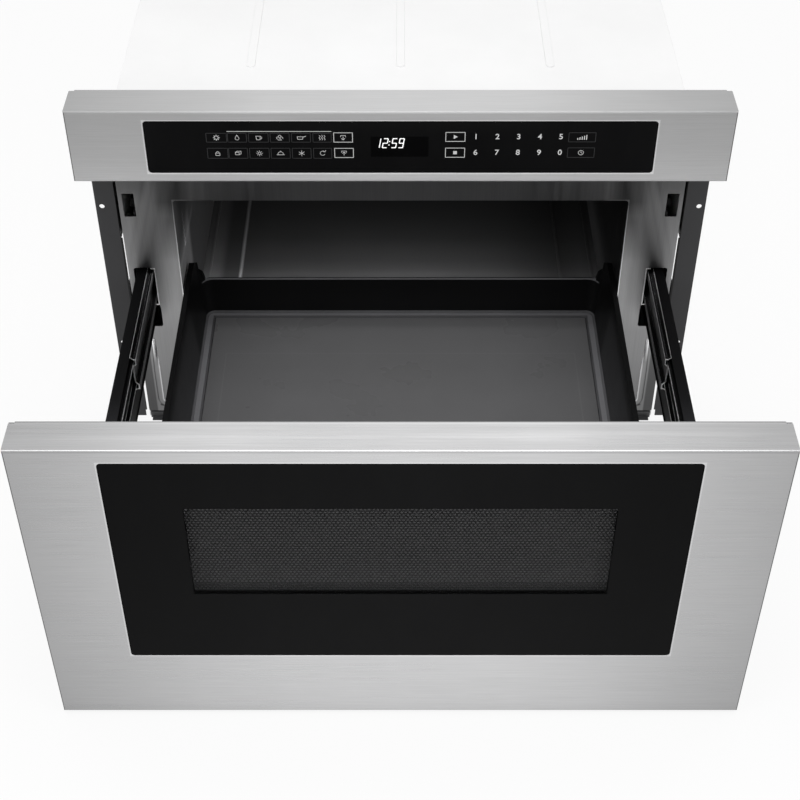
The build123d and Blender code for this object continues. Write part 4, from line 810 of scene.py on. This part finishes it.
# ---------------------------------------------------------------- face plate beads
BEAD_CROWN = 0.0014  # rise of the bead above the plate
BEAD_HALF = 0.0036  # half the bead's width at the plate
BEAD_SECTION = ((-1.0, 0.0), (-0.78, 0.55), (-0.45, 0.93), (0.0, 1.0), (0.45, 0.93), (0.78, 0.55), (1.0, 0.0))
BEAD_OUT = 0.2585  # its upright part, out from the centreline
BEAD_HEIGHTS = (0.112, 0.070)  # where the upright part begins, and where it has its full section
BEAD_FOOT = 0.0085  # its level part, above the plate's lower edge
BEAD_CORNER = 0.010
BEAD_TURNS = 8  # steps round the corner
BEAD_INWARD = (0.034, 0.058)  # where the level part has its full section, and where it ends
BEAD_END_RISE = 0.15  # shares of the rise and the width that are left at both ends
BEAD_END_WIDTH = 0.5


def bead_path(foot):
    """Places (x, z) along the bead on the right, each with the way out across it."""
    path = [((BEAD_OUT, height), (1.0, 0.0)) for height in (*BEAD_HEIGHTS, foot + BEAD_CORNER)]
    inner = BEAD_OUT - BEAD_CORNER
    for step in range(1, BEAD_TURNS):
        angle = radians(-90.0 * step / BEAD_TURNS)
        way = (cos(angle), sin(angle))
        path.append(((inner + BEAD_CORNER * way[0], foot + BEAD_CORNER + BEAD_CORNER * way[1]), way))
    for across in (inner, *(BEAD_OUT - inward for inward in BEAD_INWARD)):
        path.append(((across, foot), (0.0, -1.0)))
    return path


def make_beads():
    """A pressed bead down each side of the face plate, turning in along its lower edge."""
    corner_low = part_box("face_plate")[0]
    front = corner_low.y
    path = bead_path(corner_low.z + BEAD_FOOT)
    ends = (0, len(path) - 1)
    count = len(BEAD_SECTION)
    for side, name in ((-1, "plate_bead_left"), (1, "plate_bead_right")):
        points, faces = [], []
        for index, ((x, z), way) in enumerate(path):
            taper, narrowing = (BEAD_END_RISE, BEAD_END_WIDTH) if index in ends else (1.0, 1.0)
            for share, rise in BEAD_SECTION:
                reach = share * BEAD_HALF * narrowing
                y = front - rise * taper * BEAD_CROWN
                points.append((side * (x + reach * way[0]), y, z + reach * way[1]))
        for ring in range(len(path) - 1):
            for index in range(count - 1):
                corner = ring * count + index
                faces.append((corner, corner + count, corner + count + 1, corner + 1))
            faces.append((ring * count, ring * count + count - 1, (ring + 2) * count - 1, (ring + 1) * count))
        faces.append(tuple(range(count)))
        faces.append(tuple(range((len(path) - 1) * count, len(path) * count))[::-1])
        if side < 0:
            faces = [face[::-1] for face in faces]
        piece = mesh_piece(name, points, faces, [bead_steel], "case")
        for polygon in piece.data.polygons:
            polygon.use_smooth = len(polygon.vertices) == 4


make_beads()


HEM_GAP = 0.0025  # between the case and the flange's inner edge
HEM_WIDTH = 0.0014
HEM_DEPTH = 0.0012
HEM_HEIGHTS = (0.160, 0.241)
HEM_CORNER = 0.0005


def make_hems():
    """The inner edge of each flange's front is folded to a narrow hem between the two tabs."""
    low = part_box("mounting_flange_right")[0]
    inner = low.x + HEM_GAP
    outline = rounded_loop((inner - HEM_WIDTH, inner), HEM_HEIGHTS, HEM_CORNER, 3)
    count = len(outline)
    for side, name in ((-1, "flange_hem_left"), (1, "flange_hem_right")):
        corners = [(side * x, y, z) for y in (low.y, low.y + HEM_DEPTH) for x, z in outline]
        faces = [tuple(range(count)), tuple(range(2 * count - 1, count - 1, -1))]
        for index in range(count):
            after = (index + 1) % count
            faces.append((index, count + index, count + after, after))
        if side < 0:
            faces = [face[::-1] for face in faces]
        mesh_piece(name, corners, faces, [flange_coat], "case")


make_hems()


# ---------------------------------------------------------------- control marks
ROW_ZERO = 0.408  # height of the fascia's top edge, from which the marks are placed
GLASS_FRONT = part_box("control_glass")[0].y
LINE = 0.45  # width of an icon's stroke, in millimetres like all the marks' sizes


def emissive(name, colour, strength):
    """Ink or a lit segment: matt, faintly speckled, with a little light of its own, which on ink is a painted
    glow.
    """
    shader = Shader(name)
    speck = shader.noise(2600.0, 2.0)
    shader.tint(colour, shader.varied(speck, 0.93, 1.05))
    shader.set(Roughness=0.55, Specular_IOR_Level=0.1)
    shader.set(Emission_Color=(*colour, 1.0), Emission_Strength=strength)
    shader.bump(speck, 0.00001, 0.3)
    return shader.material


# the bright ink is given a painted glow; the clock's segments are lit
ink_with_painted_glow = emissive("ink_with_painted_glow", (0.62, 0.62, 0.62), 0.25)
dim_ink = emissive("dim_ink", (0.055, 0.055, 0.057), 0.0)
segment_light = emissive("segment_light", (0.9, 0.9, 0.9), 0.6)
display_tint = polished("display_tint", (0.0035, 0.0035, 0.0037), 0.12, 0.05)


class Marks:
    """Flat marks printed on the control glass, gathered into one piece."""

    def __init__(self, name, material, lift=0.00004):
        self.name, self.material = name, material
        self.front = GLASS_FRONT - lift
        self.points, self.faces = [], []

    def polygon(self, outline):
        """A thin solid over an outline of (x, z) points in millimetres, anticlockwise."""
        start = len(self.points)
        count = len(outline)
        for y in (self.front, GLASS_FRONT):
            self.points += [(x * MM, y, ROW_ZERO + z * MM) for x, z in outline]
        self.faces.append(tuple(start + index for index in range(count)))
        self.faces.append(tuple(start + 2 * count - 1 - index for index in range(count)))
        for index in range(count):
            after = (index + 1) % count
            self.faces.append((start + index, start + count + index, start + count + after, start + after))

    def bar(self, first, last, width):
        """A straight stroke with square ends."""
        dx, dz = last[0] - first[0], last[1] - first[1]
        length = hypot(dx, dz)
        ux, uz = dx / length * width / 2, dz / length * width / 2
        self.polygon(
            (
                (first[0] - ux + uz, first[1] - uz - ux),
                (last[0] + ux + uz, last[1] + uz - ux),
                (last[0] + ux - uz, last[1] + uz + ux),
                (first[0] - ux - uz, first[1] - uz + ux),
            )
        )

    def stroke(self, points, width=LINE, closed=False):
        ends = list(points[1:]) + ([points[0]] if closed else [])
        for first, last in zip(points, ends):
            self.bar(first, last, width)

    def box(self, x, z, width):
        self.stroke(((x[0], z[0]), (x[1], z[0]), (x[1], z[1]), (x[0], z[1])), width, closed=True)

    def ring(self, centre, radius, start=0.0, end=360.0, steps=14):
        closed = end - start >= 360.0
        points = []
        for step in range(steps + (0 if closed else 1)):
            angle = radians(start + (end - start) * step / steps)
            points.append((centre[0] + radius * cos(angle), centre[1] + radius * sin(angle)))
        self.stroke(points, closed=closed)

    def make(self):
        mesh_piece(self.name, self.points, self.faces, [self.material], "case")


KEY_ROWS = ((-31.7, -22.3), (-49.0, -38.2))
KEY_COLUMNS = (
    (-176.5, -158.0), (-157.0, -139.9), (-137.9, -120.1), (-118.3, -101.0), (-98.9, -81.8),
    (-79.5, -62.9),
)
OUT_KEY = ((-60.6, -43.6), (-31.7, -21.8))
IN_KEY = ((-60.2, -43.1), (-48.2, -38.3))
START_KEY = ((41.1, 58.6), (-30.9, -21.4))
STOP_KEY = ((41.1, 58.6), (-47.9, -38.0))
LEVEL_KEY = ((152.8, 177.2), (-31.4, -21.7))
CLOCK_KEY = ((152.8, 177.2), (-48.1, -37.8))
DIM_OUTLINE = 0.5
BRIGHT_OUTLINE = 0.6

dim = Marks("key_outlines", dim_ink)
bright = Marks("key_marks", ink_with_painted_glow)
for row in KEY_ROWS:
    for column in KEY_COLUMNS:
        dim.box(column, row, DIM_OUTLINE)
for key in (LEVEL_KEY, CLOCK_KEY):
    dim.box(*key, DIM_OUTLINE)
for key in (OUT_KEY, IN_KEY, START_KEY, STOP_KEY):
    bright.box(*key, BRIGHT_OUTLINE)
bright.bar((-157.2, -20.4), (-62.9, -20.4), 0.55)


def centre(column, row):
    return (column[0] + column[1]) / 2, (row[0] + row[1]) / 2


def moved(point, points):
    return [(point[0] + x, point[1] + z) for x, z in points]


def rays(at, start, end, width):
    """Eight short strokes that point away from a place."""
    for index in range(8):
        angle = index * pi / 4
        way = (cos(angle), sin(angle))
        ends = ((start * way[0], start * way[1]), (end * way[0], end * way[1]))
        bright.bar(*moved(at, ends), width)


def hood(at):
    """The top and two short sides of a frame."""
    bright.stroke(moved(at, ((-2.2, 2.0), (2.2, 2.0), (2.2, 0.6))))
    bright.stroke(moved(at, ((-2.2, 2.0), (-2.2, 0.6))))


def icon_gear(at):
    bright.ring(at, 1.7)
    rays(at, 1.9, 2.7, 0.6)


def icon_drop(at):
    bright.ring((at[0], at[1] - 0.7), 1.7, start=-215.0, end=35.0)
    bright.stroke(moved(at, ((-1.4, 0.3), (0.0, 2.9), (1.4, 0.3))))


def icon_cup(at):
    bright.stroke(moved(at, ((-2.2, 1.6), (-1.7, -2.2), (1.3, -2.2), (1.8, 1.6))), closed=True)
    bright.ring((at[0] + 1.9, at[1] - 0.1), 1.2, start=-90.0, end=90.0, steps=7)


def icon_kernel(at):
    for x, z in ((-1.6, -0.4), (1.6, -0.4), (0.0, 1.4)):
        bright.ring((at[0] + x, at[1] + z), 1.25, start=-20.0, end=250.0, steps=9)
    bright.bar(*moved(at, ((-1.6, -2.4), (1.6, -2.4))), LINE)


def icon_pan(at):
    bright.stroke(moved(at, ((-3.4, 1.0), (-3.0, -1.7), (1.4, -1.7), (1.8, 1.0))), closed=True)
    bright.bar(*moved(at, ((1.9, 0.7), (4.4, 1.5))), 0.55)


def icon_waves(at):
    for shift in (-2.2, 0.0, 2.2):
        points = [(shift + 0.55 * sin(step * 1.25), -2.4 + 0.6 * step) for step in range(9)]
        bright.stroke(moved(at, points))


def icon_lock(at):
    bright.stroke(moved(at, ((-1.9, -2.4), (1.9, -2.4), (1.9, 0.2), (-1.9, 0.2))), closed=True)
    bright.ring((at[0], at[1] + 0.4), 1.3, start=0.0, end=180.0, steps=8)


def icon_block(at):
    bright.stroke(moved(at, ((-2.6, -1.6), (0.8, -1.6), (0.8, 1.0), (-2.6, 1.0))), closed=True)
    bright.stroke(moved(at, ((-2.6, 1.0), (-1.0, 2.2), (2.6, 2.2), (2.6, -0.5), (0.8, -1.6))))


def icon_sun(at):
    bright.ring(at, 1.2)
    rays(at, 1.9, 2.8, 0.4)


def icon_cover(at):
    bright.ring((at[0], at[1] - 1.0), 2.5, start=0.0, end=180.0, steps=12)
    bright.bar(*moved(at, ((-3.3, -1.6), (3.3, -1.6))), 0.5)
    bright.ring((at[0], at[1] + 1.9), 0.4, steps=6)


def icon_flake(at):
    for index in range(3):
        angle = pi / 6 + index * pi / 3
        way = (2.7 * cos(angle), 2.7 * sin(angle))
        bright.bar(*moved(at, ((-way[0], -way[1]), way)), 0.42)


def icon_arc(at):
    bright.ring(at, 2.2, start=40.0, end=330.0)
    bright.stroke(moved(at, ((0.6, 2.6), (2.0, 1.4), (2.9, 3.1))))


def icon_out(at):
    hood(at)
    bright.bar(*moved(at, ((0.0, 0.8), (0.0, -2.4))), 0.5)
    bright.stroke(moved(at, ((-1.4, -1.2), (0.0, -2.6), (1.4, -1.2))), 0.5)


def icon_in(at):
    hood(at)
    bright.bar(*moved(at, ((0.0, 0.9), (0.0, -2.4))), 0.5)
    bright.stroke(moved(at, ((-1.4, -0.4), (0.0, 1.0), (1.4, -0.4))), 0.5)


def icon_start(at):
    bright.polygon(moved(at, ((-1.5, -2.1), (2.1, 0.0), (-1.5, 2.1))))


def icon_stop(at):
    bright.polygon(moved(at, ((-1.7, -1.7), (1.7, -1.7), (1.7, 1.7), (-1.7, 1.7))))


def icon_level(at):
    for index in range(5):
        x = -4.0 + 2.0 * index
        bright.bar(*moved(at, ((x, -2.2), (x, -1.2 + 0.8 * index))), 0.8)


def icon_clock(at):
    bright.ring(at, 2.4)
    bright.stroke(moved(at, ((0.0, 1.5), (0.0, 0.0), (1.1, -0.6))))


FIRST_ICONS = (icon_gear, icon_drop, icon_cup, icon_kernel, icon_pan, icon_waves)
SECOND_ICONS = (icon_lock, icon_block, icon_sun, icon_cover, icon_flake, icon_arc)
for row, icons in zip(KEY_ROWS, (FIRST_ICONS, SECOND_ICONS)):
    for column, icon in zip(KEY_COLUMNS, icons):
        icon(centre(column, row))
for icon, key in (
    (icon_out, OUT_KEY),
    (icon_in, IN_KEY),
    (icon_start, START_KEY),
    (icon_stop, STOP_KEY),
    (icon_level, LEVEL_KEY),
    (icon_clock, CLOCK_KEY),
):
    icon(centre(*key))
dim.make()
bright.make()

# the display window and its clock
window = Marks("display_window", display_tint, 0.00003)
window.polygon(((-27.2, -47.3), (25.6, -47.3), (25.6, -25.8), (-27.2, -25.8)))
window.make()

SEGMENTS = {
    "a": ((0.0, 1.0), (1.0, 1.0)),
    "b": ((1.0, 1.0), (1.0, 0.5)),
    "c": ((1.0, 0.5), (1.0, 0.0)),
    "d": ((0.0, 0.0), (1.0, 0.0)),
    "e": ((0.0, 0.5), (0.0, 0.0)),
    "f": ((0.0, 1.0), (0.0, 0.5)),
    "g": ((0.0, 0.5), (1.0, 0.5)),
}
LIT = {"1": "bc", "2": "abged", "5": "afgcd", "9": "abfgcd"}
DIGIT_WIDTH = 3.9
DIGIT_HEIGHT = 9.6
DIGIT_BASE = -37.6
DIGIT_SLANT = 0.17  # lean to the right for each millimetre of height
SEGMENT_WIDTH = 0.95
SEGMENT_GAP = 0.45  # left free at each end of a segment
COLON_PLACE = -11.0
COLON_HEIGHTS = (2.9, 6.7)
DOT = ((-0.55, -0.55), (0.55, -0.55), (0.55, 0.55), (-0.55, 0.55))

clock = Marks("clock_digits", segment_light, 0.00008)
for digit, place in (("1", -23.3), ("2", -16.6), ("5", -8.4), ("9", -2.0)):
    for segment in LIT[digit]:
        ends = []
        for u, v in SEGMENTS[segment]:
            height = v * DIGIT_HEIGHT
            ends.append((place + u * DIGIT_WIDTH + DIGIT_SLANT * height, DIGIT_BASE + height))
        (x0, z0), (x1, z1) = ends
        inset = SEGMENT_GAP / hypot(x1 - x0, z1 - z0)
        start = (x0 + (x1 - x0) * inset, z0 + (z1 - z0) * inset)
        finish = (x1 - (x1 - x0) * inset, z1 - (z1 - z0) * inset)
        clock.bar(start, finish, SEGMENT_WIDTH)
for height in COLON_HEIGHTS:
    clock.polygon(moved((COLON_PLACE + DIGIT_SLANT * height, DIGIT_BASE + height), DOT))
clock.make()

NUMERAL_PLACES = (68.5, 88.0, 107.3, 126.6, 145.7)
NUMERAL_ROWS = ((-26.1, "12345"), (-42.9, "67890"))
NUMERAL_SIZE = 7.8
NUMERAL_HALF_THICK = 0.02
NUMERAL_WEIGHT = 0.12  # how far the strokes are widened to each side


def make_digits():
    """Number keys: plain numerals, as thin flat solids on the glass."""
    for height, numerals in NUMERAL_ROWS:
        for place, numeral in zip(NUMERAL_PLACES, numerals):
            curve = bpy.data.curves.new(f"number_{numeral}", "FONT")
            curve.body = numeral
            curve.size = NUMERAL_SIZE * MM
            curve.extrude = NUMERAL_HALF_THICK * MM
            curve.offset = NUMERAL_WEIGHT * MM
            curve.align_x = "CENTER"
            curve.align_y = "CENTER"
            text = bpy.data.objects.new(f"number_{numeral}", curve)
            bpy.context.scene.collection.objects.link(text)
            bpy.context.view_layer.update()
            mesh = bpy.data.meshes.new_from_object(text.evaluated_get(bpy.context.evaluated_depsgraph_get()))
            bpy.data.objects.remove(text)
            mesh.transform(Matrix.Rotation(radians(90.0), 4, "X"))
            mesh.transform(Matrix.Translation((place * MM, GLASS_FRONT - 0.00002, ROW_ZERO + height * MM)))
            mesh.materials.clear()
            mesh.materials.append(ink_with_painted_glow)
            piece = bpy.data.objects.new(f"number_{numeral}", mesh)
            bpy.context.scene.collection.objects.link(piece)
            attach(piece, "case")


make_digits()


# ---------------------------------------------------------------- floor
def make_floor():
    """A pale floor that shows white and keeps a soft shadow."""
    mesh = bpy.data.meshes.new("floor")
    reach = 14.0
    corners = [(-reach, -reach, 0), (reach, -reach, 0), (reach, reach, 0), (-reach, reach, 0)]
    mesh.from_pydata(corners, [], [(0, 1, 2, 3)])
    floor = bpy.data.objects.new("floor", mesh)
    bpy.context.scene.collection.objects.link(floor)
    material = bpy.data.materials.new("floor")
    material.use_nodes = True
    tree = material.node_tree
    tree.nodes.clear()
    diffuse = tree.nodes.new("ShaderNodeBsdfDiffuse")
    fill(diffuse, Color=(0.9, 0.9, 0.9, 1.0))
    white = tree.nodes.new("ShaderNodeEmission")
    fill(white, Color=(1.0, 1.0, 1.0, 1.0), Strength=1.0)
    share = tree.nodes.new("ShaderNodeMath")
    share.operation = "MULTIPLY"
    share.inputs[1].default_value = 0.88
    mix = tree.nodes.new("ShaderNodeMixShader")
    out = tree.nodes.new("ShaderNodeOutputMaterial")
    tree.links.new(seen_directly(tree), share.inputs[0])
    tree.links.new(share.outputs[0], mix.inputs[0])
    tree.links.new(diffuse.outputs[0], mix.inputs[1])
    tree.links.new(white.outputs[0], mix.inputs[2])
    tree.links.new(mix.outputs[0], out.inputs[0])
    mesh.materials.append(material)


make_floor()
